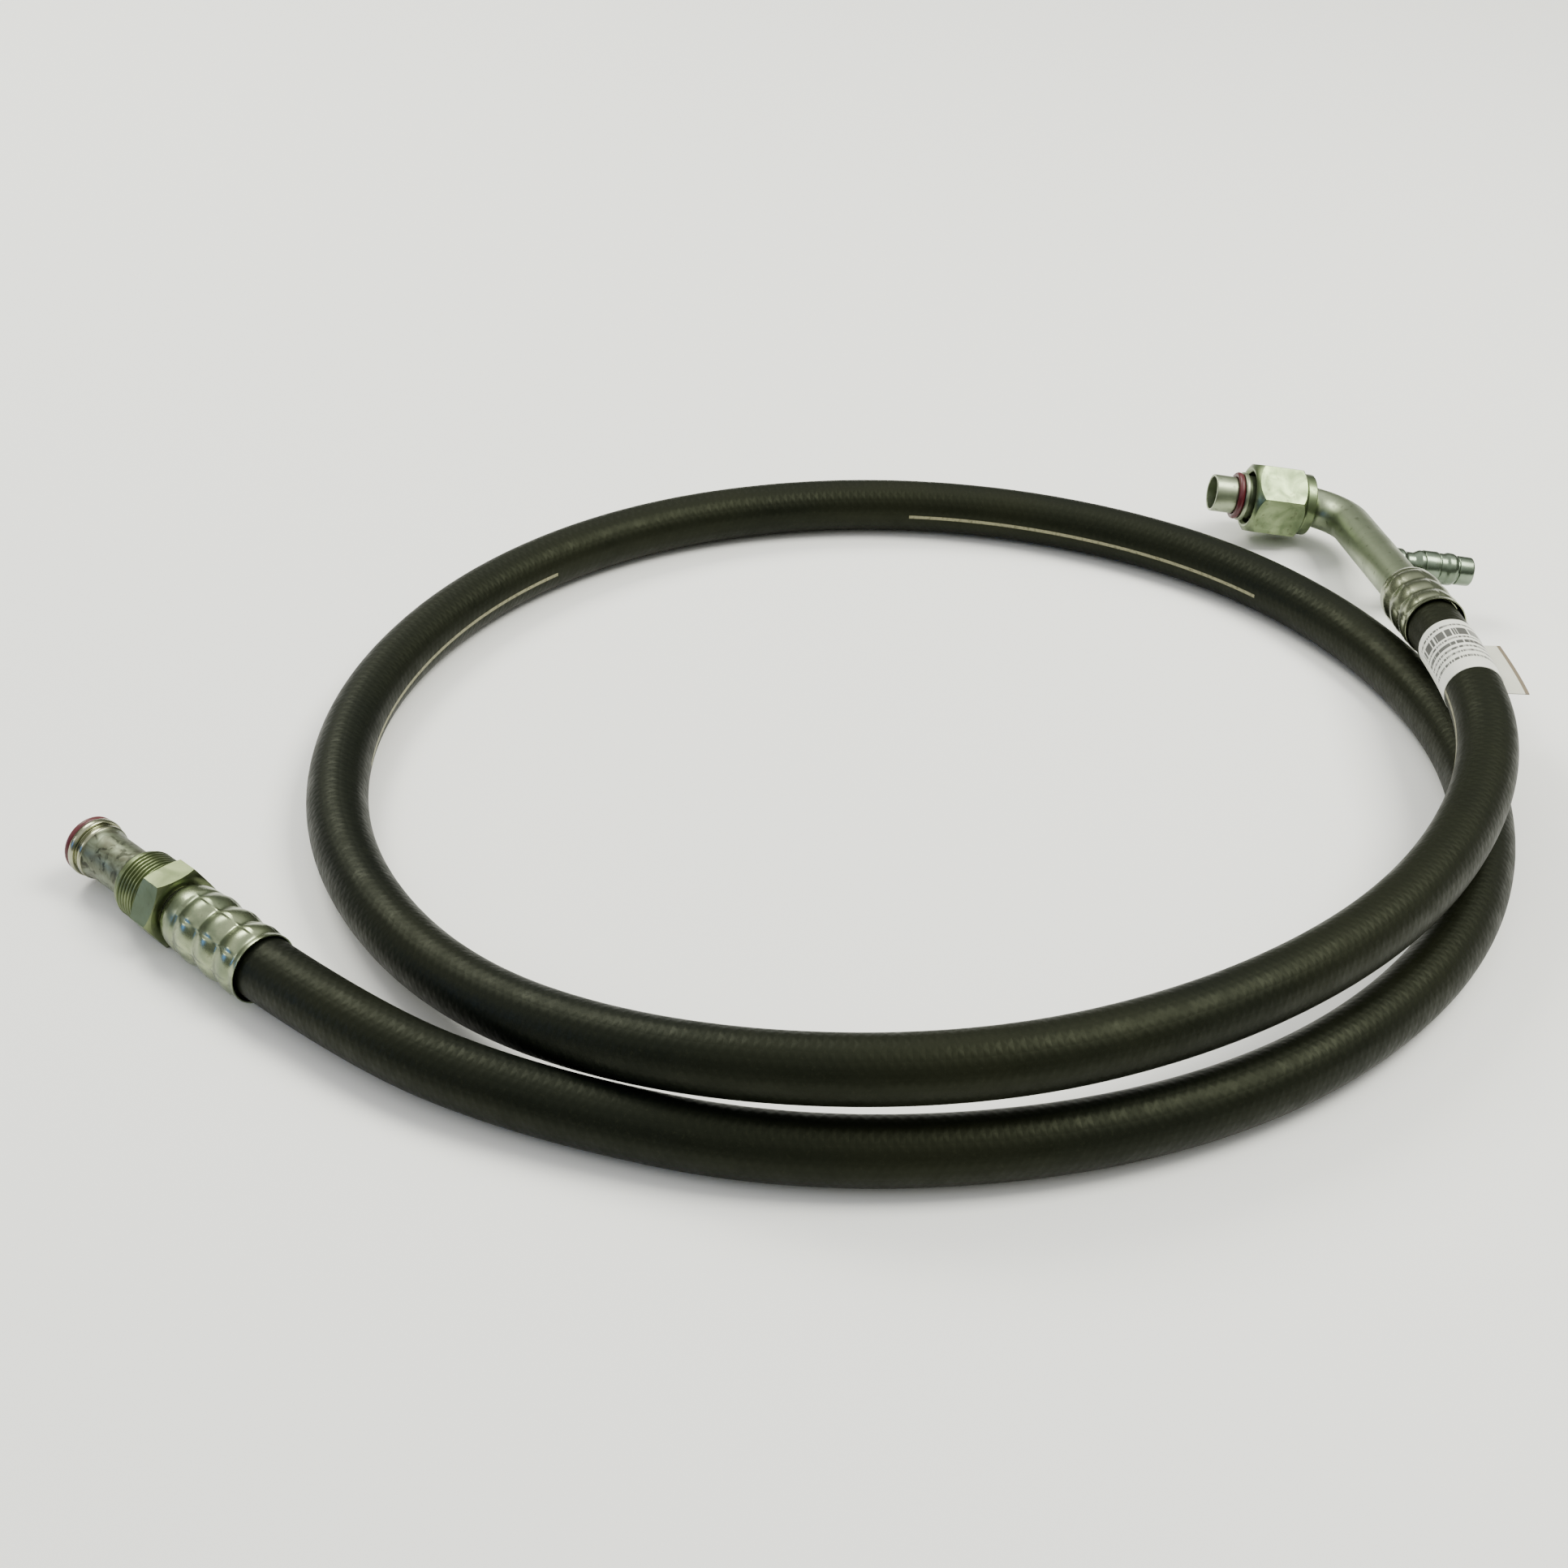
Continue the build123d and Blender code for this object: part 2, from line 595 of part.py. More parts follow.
with BuildPart() as valve_core_body:
    with BuildSketch(port_profile):
        with BuildLine():
            Polyline(
                (CORE_BOTTOM, CORE_SEAT_HOLE_RADIUS),
                (CORE_BOTTOM, CORE_BARREL_RADIUS),
                (CORE_HEAD_BOTTOM, CORE_BARREL_RADIUS),
                (CORE_HEAD_BOTTOM, PORT_CORE_BORE_RADIUS),
                (CORE_HEAD_TOP, PORT_CORE_BORE_RADIUS),
                (CORE_HEAD_TOP, CORE_GUIDE_RADIUS),
                (CORE_GUIDE_BOTTOM, CORE_GUIDE_RADIUS),
                (CORE_GUIDE_BOTTOM, CORE_CAVITY_RADIUS),
                (CORE_SEAT_TOP, CORE_CAVITY_RADIUS),
                (CORE_SEAT_TOP, CORE_SEAT_HOLE_RADIUS),
                close=True,
            )
        make_face()
    revolve(axis=port_axis)
valve_core_body.part.label = "valve_core_body"
export_step(valve_core_body.part, "parts/valve_core_body.step")

# ---------------------------------------------------------------------------
# Valve gasket: fluoropolymer ring under the head of the valve core
# ---------------------------------------------------------------------------

with BuildPart() as valve_gasket:
    with BuildSketch(port_profile):
        with BuildLine():
            Polyline(
                (GASKET_BOTTOM, CORE_BARREL_RADIUS),
                (GASKET_BOTTOM, PORT_CORE_BORE_RADIUS),
                (CORE_HEAD_BOTTOM, PORT_CORE_BORE_RADIUS),
                (CORE_HEAD_BOTTOM, CORE_BARREL_RADIUS),
                close=True,
            )
        make_face()
    revolve(axis=port_axis)
valve_gasket.part.label = "valve_gasket"
export_step(valve_gasket.part, "parts/valve_gasket.step")

# ---------------------------------------------------------------------------
# Valve pin: steel rod with a spring collar and a flange that carries the seal
# ---------------------------------------------------------------------------

PIN_RADIUS = 0.6
PIN_TOP = 29.3
PIN_COLLAR_RADIUS = 1.3
PIN_COLLAR_THICKNESS = 0.6
PIN_FLANGE_RADIUS = 1.2
PIN_FLANGE_THICKNESS = 0.5
SEAL_THICKNESS = 1.2

pin_collar_bottom = CORE_GUIDE_BOTTOM - PIN_COLLAR_THICKNESS
seal_bottom = CORE_BOTTOM - SEAL_THICKNESS
pin_bottom = seal_bottom - PIN_FLANGE_THICKNESS

with BuildPart() as valve_pin:
    with BuildSketch(port_profile):
        with BuildLine():
            Polyline(
                (pin_bottom, 0),
                (pin_bottom, PIN_FLANGE_RADIUS),
                (seal_bottom, PIN_FLANGE_RADIUS),
                (seal_bottom, PIN_RADIUS),
                (pin_collar_bottom, PIN_RADIUS),
                (pin_collar_bottom, PIN_COLLAR_RADIUS),
                (CORE_GUIDE_BOTTOM, PIN_COLLAR_RADIUS),
                (CORE_GUIDE_BOTTOM, PIN_RADIUS),
                (PIN_TOP, PIN_RADIUS),
                (PIN_TOP, 0),
                close=True,
            )
        make_face()
    revolve(axis=port_axis)
valve_pin.part.label = "valve_pin"
export_step(valve_pin.part, "parts/valve_pin.step")

# ---------------------------------------------------------------------------
# Valve seal: rubber washer on the inner end of the pin
# ---------------------------------------------------------------------------

SEAL_RADIUS = 1.7

with BuildPart() as valve_seal:
    with BuildSketch(port_profile):
        with BuildLine():
            Polyline(
                (seal_bottom, PIN_RADIUS),
                (seal_bottom, SEAL_RADIUS),
                (CORE_BOTTOM, SEAL_RADIUS),
                (CORE_BOTTOM, PIN_RADIUS),
                close=True,
            )
        make_face()
    revolve(axis=port_axis)
valve_seal.part.label = "valve_seal"
export_step(valve_seal.part, "parts/valve_seal.step")

# ---------------------------------------------------------------------------
# Valve spring: stainless wire coil between the core seat and the pin collar
# ---------------------------------------------------------------------------

SPRING_WIRE_RADIUS = 0.15
SPRING_MEAN_RADIUS = 1.05
SPRING_TURNS = 6

spring_bottom = CORE_SEAT_TOP + SPRING_WIRE_RADIUS
spring_height = pin_collar_bottom - SPRING_WIRE_RADIUS - spring_bottom

with BuildLine() as spring_line:
    Helix(
        pitch=spring_height / SPRING_TURNS,
        height=spring_height,
        radius=SPRING_MEAN_RADIUS,
        center=port_root + port_direction * spring_bottom,
        direction=port_direction,
    )

with BuildPart() as valve_spring:
    with BuildSketch(Plane(origin=spring_line.line @ 0, z_dir=spring_line.line % 0)):
        Circle(SPRING_WIRE_RADIUS)
    sweep(path=spring_line.line, is_frenet=True)
valve_spring.part.label = "valve_spring"
export_step(valve_spring.part, "parts/valve_spring.step")

# ---------------------------------------------------------------------------
# Straight ferrule: steel shell crimped round the hose, with a longer neck
# ---------------------------------------------------------------------------

straight_lip_start = HOSE_INSERTION + STEM_COLLAR_LENGTH
neck_step_start = STRAIGHT_FERRULE_LENGTH - STRAIGHT_FERRULE_STEP_LENGTH

with BuildPart() as straight_ferrule:
    with BuildSketch(straight_profile):
        with BuildLine():
            Spline(
                (0, FERRULE_RIM_RADIUS),
                (crest_stations[0], FERRULE_CREST_RADIUS),
                (trough_stations[0], FERRULE_TROUGH_RADIUS),
                (crest_stations[1], FERRULE_CREST_RADIUS),
                (trough_stations[1], FERRULE_TROUGH_RADIUS),
                (crest_stations[2], FERRULE_CREST_RADIUS),
                (neck_step_start, FERRULE_TROUGH_RADIUS),
                (STRAIGHT_FERRULE_LENGTH, FERRULE_ROOT_RADIUS),
            )
            Polyline(
                (STRAIGHT_FERRULE_LENGTH, FERRULE_ROOT_RADIUS),
                (STRAIGHT_FERRULE_LENGTH, STEM_GROOVE_RADIUS),
                (straight_lip_start, STEM_GROOVE_RADIUS),
                (straight_lip_start, COVER_RADIUS),
                (FERRULE_MOUTH_DEPTH, COVER_RADIUS),
                (0, FERRULE_MOUTH_BORE_RADIUS),
                (0, FERRULE_RIM_RADIUS),
            )
        make_face()
    revolve(axis=straight_axis)
straight_ferrule.part.label = "straight_ferrule"
export_step(straight_ferrule.part, "parts/straight_ferrule.step")

# ---------------------------------------------------------------------------
# Straight stem: barbed steel insert, brazed into the straight tube
# ---------------------------------------------------------------------------

straight_spigot_end = STRAIGHT_TUBE_START + STEM_SPIGOT_LENGTH

with BuildPart() as straight_stem:
    with BuildSketch(straight_profile):
        with BuildLine():
            Polyline(
                (STEM_TIP_LENGTH, STEM_BORE_RADIUS),
                (STEM_TIP_LENGTH, STEM_BARB_ROOT_RADIUS),
                (HOSE_INSERTION, STEM_BARB_ROOT_RADIUS),
                (HOSE_INSERTION, STEM_COLLAR_RADIUS),
                (straight_lip_start, STEM_COLLAR_RADIUS),
                (straight_lip_start, STEM_GROOVE_RADIUS),
                (STRAIGHT_FERRULE_LENGTH, STEM_GROOVE_RADIUS),
                (STRAIGHT_FERRULE_LENGTH, TUBE_RADIUS),
                (STRAIGHT_TUBE_START, TUBE_RADIUS),
                (STRAIGHT_TUBE_START, TUBE_BORE_RADIUS),
                (straight_spigot_end, TUBE_BORE_RADIUS),
                (straight_spigot_end, STEM_BORE_RADIUS),
                close=True,
            )
        make_face()
        for barb in range(STEM_BARB_COUNT):
            barb_start = STEM_TIP_LENGTH + barb * STEM_BARB_PITCH
            with BuildLine():
                Polyline(
                    (barb_start, STEM_BARB_ROOT_RADIUS),
                    (barb_start + STEM_BARB_PITCH * STEM_BARB_CREST_SHARE, HOSE_BORE_RADIUS),
                    (barb_start + STEM_BARB_PITCH, HOSE_BORE_RADIUS),
                    (barb_start + STEM_BARB_PITCH, STEM_BARB_ROOT_RADIUS),
                    close=True,
                )
            make_face()
    revolve(axis=straight_axis)
straight_stem.part.label = "straight_stem"
export_step(straight_stem.part, "parts/straight_stem.step")

# ---------------------------------------------------------------------------
# Straight tube: steel tube with a formed bead and pilot at its nose
# ---------------------------------------------------------------------------

straight_bead_back = STRAIGHT_BEAD_FRONT - BEAD_THICKNESS
straight_seat_end = STRAIGHT_BEAD_FRONT + O_RING_SEAT_LENGTH
straight_nose_tip = STRAIGHT_BEAD_FRONT + STRAIGHT_PILOT_LENGTH

with BuildPart() as straight_tube:
    with BuildSketch(straight_profile):
        with BuildLine():
            Polyline(
                (STRAIGHT_TUBE_START, TUBE_BORE_RADIUS),
                (STRAIGHT_TUBE_START, TUBE_RADIUS),
                (straight_bead_back, TUBE_RADIUS),
                (straight_bead_back, BEAD_RADIUS - BEAD_ROUNDING),
                (straight_bead_back + BEAD_ROUNDING, BEAD_RADIUS),
                (STRAIGHT_BEAD_FRONT - BEAD_ROUNDING, BEAD_RADIUS),
                (STRAIGHT_BEAD_FRONT, BEAD_RADIUS - BEAD_ROUNDING),
                (STRAIGHT_BEAD_FRONT, O_RING_SEAT_RADIUS),
                (straight_seat_end, O_RING_SEAT_RADIUS),
                (straight_seat_end, PILOT_RADIUS),
                (straight_nose_tip - PILOT_CHAMFER, PILOT_RADIUS),
                (straight_nose_tip, PILOT_RADIUS - PILOT_CHAMFER),
                (straight_nose_tip, TUBE_BORE_RADIUS),
                close=True,
            )
        make_face()
    revolve(axis=straight_axis)
straight_tube.part.label = "straight_tube"
export_step(straight_tube.part, "parts/straight_tube.step")

# ---------------------------------------------------------------------------
# Straight O-ring: hydrogenated nitrile ring, seated against the bead
# ---------------------------------------------------------------------------

with BuildPart() as straight_o_ring:
    with BuildSketch(straight_profile):
        with Locations(
            (STRAIGHT_BEAD_FRONT + O_RING_SECTION_RADIUS, O_RING_SEAT_RADIUS + O_RING_SECTION_RADIUS)
        ):
            Circle(O_RING_SECTION_RADIUS)
    revolve(axis=straight_axis)
straight_o_ring.part.label = "straight_o_ring"
export_step(straight_o_ring.part, "parts/straight_o_ring.step")

# ---------------------------------------------------------------------------
# Straight nut: male insert nut with a hexagon, turning freely on the tube
# ---------------------------------------------------------------------------

STRAIGHT_HEX_CHAMFER = 0.9
STRAIGHT_HEX_CHAMFER_DROP = 1.5
THREAD_LEAD_CHAMFER = 0.5
THREAD_CREST_FLAT = 0.18
THREAD_CREST_COUNT = 7
THREAD_FIRST_CREST = 0.9  # first crest's distance from the hexagon, in pitches

straight_corner_radius = STRAIGHT_NUT_ACROSS_FLATS / 3**0.5
straight_face_radius = straight_corner_radius - STRAIGHT_HEX_CHAMFER_DROP
straight_hex_plane = Plane(
    origin=straight_mouth + straight_direction * STRAIGHT_NUT_BACK,
    x_dir=straight_profile.z_dir,
    z_dir=straight_direction,
)

with BuildPart() as straight_nut:
    with BuildSketch(straight_hex_plane):
        RegularPolygon(
            radius=STRAIGHT_NUT_ACROSS_FLATS / 2, side_count=6, major_radius=False
        )
    extrude(amount=STRAIGHT_NUT_HEX_FRONT - STRAIGHT_NUT_BACK)
    with BuildSketch(straight_profile):
        with BuildLine():
            Polyline(
                (STRAIGHT_NUT_BACK, 0),
                (STRAIGHT_NUT_BACK, straight_face_radius),
                (STRAIGHT_NUT_BACK + STRAIGHT_HEX_CHAMFER, straight_corner_radius),
                (STRAIGHT_NUT_HEX_FRONT - STRAIGHT_HEX_CHAMFER, straight_corner_radius),
                (STRAIGHT_NUT_HEX_FRONT, straight_face_radius),
                (STRAIGHT_NUT_HEX_FRONT, 0),
                close=True,
            )
        make_face()
    revolve(axis=straight_axis, mode=Mode.INTERSECT)
    with BuildSketch(straight_profile):
        with BuildLine():
            Polyline(
                (STRAIGHT_NUT_HEX_FRONT, 0),
                (STRAIGHT_NUT_HEX_FRONT, THREAD_MINOR_RADIUS),
                (STRAIGHT_NUT_FRONT - THREAD_LEAD_CHAMFER, THREAD_MINOR_RADIUS),
                (STRAIGHT_NUT_FRONT, THREAD_MINOR_RADIUS - THREAD_LEAD_CHAMFER),
                (STRAIGHT_NUT_FRONT, 0),
                close=True,
            )
        make_face()
        for turn_number in range(THREAD_CREST_COUNT):
            crest_centre = STRAIGHT_NUT_HEX_FRONT + THREAD_PITCH * (turn_number + THREAD_FIRST_CREST)
            with BuildLine():
                Polyline(
                    (crest_centre - THREAD_PITCH / 2 + THREAD_CREST_FLAT / 2, THREAD_MINOR_RADIUS),
                    (crest_centre - THREAD_CREST_FLAT, THREAD_MAJOR_RADIUS),
                    (crest_centre + THREAD_CREST_FLAT, THREAD_MAJOR_RADIUS),
                    (crest_centre + THREAD_PITCH / 2 - THREAD_CREST_FLAT / 2, THREAD_MINOR_RADIUS),
                    close=True,
                )
            make_face()
    revolve(axis=straight_axis)
    with BuildSketch(straight_hex_plane):
        Circle(NUT_BORE_RADIUS)
    extrude(amount=STRAIGHT_NUT_FRONT - STRAIGHT_NUT_BACK, mode=Mode.SUBTRACT)
straight_nut.part.label = "straight_nut"
export_step(straight_nut.part, "parts/straight_nut.step")

# ---------------------------------------------------------------------------
# Radii of the cord, for the record of the assembly
# ---------------------------------------------------------------------------

print(f"hose cover radius {COVER_RADIUS} mm, centreline length {hose_path.length:.1f} mm")
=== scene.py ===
import math

import bmesh
import bpy
from mathutils import Matrix, Vector


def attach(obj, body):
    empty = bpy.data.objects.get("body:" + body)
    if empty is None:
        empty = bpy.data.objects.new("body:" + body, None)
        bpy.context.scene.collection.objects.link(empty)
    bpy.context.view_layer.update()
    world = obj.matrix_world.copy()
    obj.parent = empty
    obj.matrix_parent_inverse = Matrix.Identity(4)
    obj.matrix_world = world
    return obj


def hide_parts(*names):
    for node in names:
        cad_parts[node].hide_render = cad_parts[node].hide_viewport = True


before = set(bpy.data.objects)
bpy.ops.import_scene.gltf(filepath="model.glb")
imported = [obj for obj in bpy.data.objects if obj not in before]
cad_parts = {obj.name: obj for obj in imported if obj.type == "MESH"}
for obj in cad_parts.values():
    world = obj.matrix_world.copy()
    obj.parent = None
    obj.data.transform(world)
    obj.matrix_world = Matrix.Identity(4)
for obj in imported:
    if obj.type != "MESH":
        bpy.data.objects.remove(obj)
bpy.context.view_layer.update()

# ---------------------------------------------------------------------------
# Camera
# It stands in front of the coil at the height of a seated person's eyes and
# looks down at it. A slight roll is kept, because the camera was hand held.
# ---------------------------------------------------------------------------

CAMERA_PLACE = Vector((-0.020, -0.6765, 0.44194))
CAMERA_PITCH_DOWN = math.radians(34.718)
CAMERA_ROLL = math.radians(-2.4785)
CAMERA_LENS = 52.17

level_right = Vector((1, 0, 0))
forward = Vector((0, math.cos(CAMERA_PITCH_DOWN), -math.sin(CAMERA_PITCH_DOWN)))
level_down = forward.cross(level_right)
camera_right = level_right * math.cos(CAMERA_ROLL) + level_down * math.sin(CAMERA_ROLL)
camera_down = level_down * math.cos(CAMERA_ROLL) - level_right * math.sin(CAMERA_ROLL)

camera_data = bpy.data.cameras.new("camera")
camera_data.sensor_width = 36.0
camera_data.sensor_fit = "HORIZONTAL"
camera_data.lens = CAMERA_LENS
camera_data.clip_start = 0.01
camera_data.clip_end = 50.0
camera = bpy.data.objects.new("camera", camera_data)
bpy.context.collection.objects.link(camera)
camera_axes = Matrix((camera_right, -camera_down, -forward)).transposed()
camera.matrix_world = Matrix.Translation(CAMERA_PLACE) @ camera_axes.to_4x4()
bpy.context.scene.camera = camera

# ---------------------------------------------------------------------------
# Hose cover
# A 13 mm refrigerant hose, 20 mm outside, of black rubber cured over a braid.
# The braid shows through the cover as a fine raised lattice, and a pale line is
# painted along the inside of the coil, with gaps where print would be.
# ---------------------------------------------------------------------------

MM = 0.001
HOSE_RADIUS = 10.0 * MM
HOSE_INSERTION = 31.0 * MM
HOSE_SIDES = 72

# The route's corner points, from the elbow end to the straight end.
HOSE_ROUTE = [
    (0.2095, 0.0655, 0.026),
    (0.2160, -0.0055, 0.036),
    (0.2110, -0.063, 0.031),
    (0.1710, -0.134, 0.031),
    (0.1080, -0.189, 0.033),
    (0.0330, -0.221, 0.0345),
    (-0.0510, -0.214, 0.028),
    (-0.1190, -0.169, 0.014),
    (-0.1640, -0.098, 0.010),
    (-0.1710, -0.018, 0.010),
    (-0.1420, 0.062, 0.010),
    (-0.0850, 0.121, 0.010),
    (-0.0070, 0.151, 0.010),
    (0.0750, 0.148, 0.010),
    (0.1510, 0.113, 0.010),
    (0.2020, 0.048, 0.010),
    (0.2190, -0.033, 0.010),
    (0.1990, -0.114, 0.010),
    (0.1460, -0.178, 0.010),
    (0.0750, -0.217, 0.010),
    (-0.0100, -0.230, 0.010),
    (-0.0850, -0.2135, 0.010),
    (-0.1420, -0.187, 0.0115),
    (-0.1940, -0.142, 0.0115),
]


def smooth_line(name, corners, steps):
    """Points along one smooth NURBS curve that has these corners as its control points."""
    line = bpy.data.curves.new(name, "CURVE")
    line.dimensions = "3D"
    spline = line.splines.new("NURBS")
    spline.points.add(len(corners) - 1)
    for point, corner in zip(spline.points, corners):
        point.co = (*corner, 1.0)
    spline.order_u = 3
    spline.use_endpoint_u = True
    spline.resolution_u = steps
    holder = bpy.data.objects.new(name, line)
    mesh = bpy.data.meshes.new_from_object(holder)
    points = [vertex.co.copy() for vertex in mesh.vertices]
    bpy.data.meshes.remove(mesh)
    bpy.data.objects.remove(holder)
    bpy.data.curves.remove(line)
    return points


def distances_along(points):
    """Distance of each point from the first one, along the line."""
    travelled = [0.0]
    for before, after in zip(points, points[1:]):
        travelled.append(travelled[-1] + (after - before).length)
    return travelled


def line_directions(points):
    """Direction of travel at each point of a line."""
    last = len(points) - 1
    return [(points[min(i + 1, last)] - points[max(i - 1, 0)]).normalized() for i in range(last + 1)]


def new_piece(name, vertices, faces, smooth=True):
    """An object from a list of vertices and faces, linked into the scene."""
    mesh = bpy.data.meshes.new(name)
    mesh.from_pydata([tuple(v) for v in vertices], [], faces)
    mesh.update()
    for face in mesh.polygons:
        face.use_smooth = smooth
    piece = bpy.data.objects.new(name, mesh)
    bpy.context.collection.objects.link(piece)
    return piece


def unwrap_rings(piece, around, lengths):
    """UV map of a ringed skin: U is the turn round it and V the distance along it in metres."""
    layer = piece.data.uv_layers.new(name="along")
    for face in piece.data.polygons:
        corners = [piece.data.loops[index].vertex_index for index in face.loop_indices]
        turns = [corner % around for corner in corners]
        crosses_seam = max(turns) - min(turns) > 1
        for index, corner, turn in zip(face.loop_indices, corners, turns):
            u = 1.0 if crosses_seam and turn == 0 else turn / around
            layer.data[index].uv = (u, lengths[min(corner // around, len(lengths) - 1)])


def hose_skin(name, points, radius, sides):
    """A round skin along a line. The seam is on top, and U grows towards the inside of the coil."""
    vertices = []
    for point, ahead in zip(points, line_directions(points)):
        inward = ahead.cross(Vector((0, 0, 1))).normalized()
        upward = inward.cross(ahead)
        for side in range(sides):
            turn = math.tau * side / sides
            vertices.append(point + (upward * math.cos(turn) + inward * math.sin(turn)) * radius)
    faces = []
    for ring in range(len(points) - 1):
        for side in range(sides):
            beside = (side + 1) % sides
            here = ring * sides
            ahead = here + sides
            faces.append((here + side, here + beside, ahead + beside, ahead + side))
    piece = new_piece(name, vertices, faces)
    unwrap_rings(piece, sides, distances_along(points))
    return piece


def new_material(name):
    """A material with an empty node tree but for its shader, and a function that adds nodes."""
    material = bpy.data.materials.new(name)
    material.use_nodes = True
    tree = material.node_tree
    shader = tree.nodes["Principled BSDF"]

    def add(kind, inputs=None, **settings):
        node = tree.nodes.new(kind)
        for key, value in settings.items():
            setattr(node, key, value)
        for socket, value in (inputs or {}).items():
            if isinstance(value, bpy.types.NodeSocket):
                tree.links.new(value, node.inputs[socket])
            else:
                node.inputs[socket].default_value = value
        return node

    return material, tree, shader, add


def maths(add, operation, first, second=0.0, third=0.0, clamp=False):
    """One Math node's result."""
    node = add("ShaderNodeMath", {0: first, 1: second, 2: third}, operation=operation, use_clamp=clamp)
    return node.outputs[0]


def noise(add, where, scale, detail, distortion=0.0):
    """One noise texture's value."""
    settings = {"Vector": where, "Scale": scale, "Detail": detail, "Distortion": distortion}
    return add("ShaderNodeTexNoise", settings).outputs["Fac"]


def remap(add, value, low, high, new_low=0.0, new_high=1.0):
    """A value moved from one range to another and held inside it."""
    return add("ShaderNodeMapRange", {0: value, 1: low, 2: high, 3: new_low, 4: new_high}).outputs[0]


def blend_colours(add, share, first, second):
    """One colour mix's result."""
    node = add("ShaderNodeMix", data_type="RGBA")
    tree = node.id_data
    for socket, value in ((node.inputs[0], share), (node.inputs[6], first), (node.inputs[7], second)):
        if isinstance(value, bpy.types.NodeSocket):
            tree.links.new(value, socket)
        else:
            socket.default_value = value
    return node.outputs[2]


BRAID_CARRIERS = 12
BRAID_REPEAT = 3.3 * MM
LINE_START = 35.7 * MM
LINE_LENGTH = 153.7 * MM
LINE_PERIOD = 313.9 * MM
LINE_FIRST_SEEN = 80 * MM
LINE_TURN = 0.25
LINE_HALF_TURN = 0.012


def cover_rubber():
    """Black rubber with the lattice of the braid under it, dull patches, dust and the painted line."""
    material, tree, shader, add = new_material("cover_rubber")
    place = add("ShaderNodeUVMap", uv_map="along").outputs[0]
    split = add("ShaderNodeSeparateXYZ", {0: place})
    around, along = split.outputs[0], split.outputs[1]
    where = add("ShaderNodeTexCoord").outputs["Object"]

    patches = noise(add, where, 9.0, 3.0)
    mottle = noise(add, where, 160.0, 4.0)
    specks = noise(add, where, 900.0, 2.0)

    # Two families of yarns wind opposite ways, and the cover rises over whichever is on top.
    around_angle = maths(add, "MULTIPLY", around, math.tau * BRAID_CARRIERS)
    along_angle = maths(add, "MULTIPLY", along, math.tau / BRAID_REPEAT)
    wander = maths(add, "MULTIPLY", maths(add, "SUBTRACT", mottle, 0.5), 1.6)
    first_family = maths(add, "ADD", maths(add, "ADD", around_angle, along_angle), wander)
    second_family = maths(add, "ADD", maths(add, "SUBTRACT", around_angle, along_angle), wander)
    first_ridge = maths(add, "SINE", first_family)
    second_ridge = maths(add, "SINE", second_family)
    braid_height = maths(add, "MAXIMUM", first_ridge, second_ridge)

    band = maths(add, "ABSOLUTE", maths(add, "SUBTRACT", around, LINE_TURN))
    in_band = remap(add, band, LINE_HALF_TURN, LINE_HALF_TURN * 0.7)
    since_start = maths(add, "WRAP", maths(add, "SUBTRACT", along, LINE_START), LINE_PERIOD, 0.0)
    in_stretch = maths(add, "LESS_THAN", since_start, LINE_LENGTH)
    in_stretch = maths(add, "MULTIPLY", in_stretch, maths(add, "GREATER_THAN", along, LINE_FIRST_SEEN))
    thin_paint = remap(add, specks, 0.3, 0.5, 0.5, 0.95)
    painted = maths(add, "MULTIPLY", maths(add, "MULTIPLY", in_band, in_stretch), thin_paint)

    black = (0.0012, 0.0020, 0.0015, 1)
    olive = (0.0048, 0.0055, 0.0026, 1)
    dusty = (0.020, 0.021, 0.012, 1)
    cream = (0.25, 0.24, 0.15, 1)
    tone = remap(add, patches, 0.38, 0.62)
    base = blend_colours(add, tone, black, olive)
    dust_share = maths(add, "MULTIPLY", remap(add, specks, 0.6, 0.8), 0.3)
    base = blend_colours(add, dust_share, base, dusty)
    base = blend_colours(add, painted, base, cream)
    tree.links.new(base, shader.inputs["Base Color"])

    roughness = remap(add, mottle, 0.3, 0.7, 0.42, 0.56)
    tree.links.new(roughness, shader.inputs["Roughness"])
    shader.inputs["Specular IOR Level"].default_value = 0.16
    shader.inputs["Specular Tint"].default_value = (0.92, 1.0, 0.66, 1)

    relief = maths(add, "ADD", braid_height, maths(add, "MULTIPLY", specks, 0.5))
    bump = add("ShaderNodeBump", {"Height": relief, "Strength": 0.4, "Distance": 0.09 * MM})
    tree.links.new(bump.outputs[0], shader.inputs["Normal"])
    return material


centreline = smooth_line("hose_centreline", HOSE_ROUTE, 64)
hose = hose_skin("hose_rubber_cover", centreline, HOSE_RADIUS, HOSE_SIDES)
hose.data.materials.append(cover_rubber())
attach(hose, "hose_and_tubes")
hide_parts("hose_cover")

# ---------------------------------------------------------------------------
# Hose wall inside the cover
# Inner tube, barrier film, tie layer and polyester braid, bonded one over the
# other. They end with the cover inside the ferrules and follow the same line.
# ---------------------------------------------------------------------------

WALL_SIDES = 32


def wall_material(name, colour, dark_share):
    """A dull layer of the hose wall, with a faint cloudiness."""
    material, tree, shader, add = new_material(name)
    where = add("ShaderNodeTexCoord").outputs["Object"]
    cloud = noise(add, where, 300.0, 3.0)
    darker = tuple(part * dark_share for part in colour[:3]) + (1,)
    tree.links.new(blend_colours(add, cloud, darker, colour), shader.inputs["Base Color"])
    shader.inputs["Roughness"].default_value = 0.6
    bump = add("ShaderNodeBump", {"Height": cloud, "Strength": 0.2, "Distance": 0.1 * MM})
    tree.links.new(bump.outputs[0], shader.inputs["Normal"])
    return material


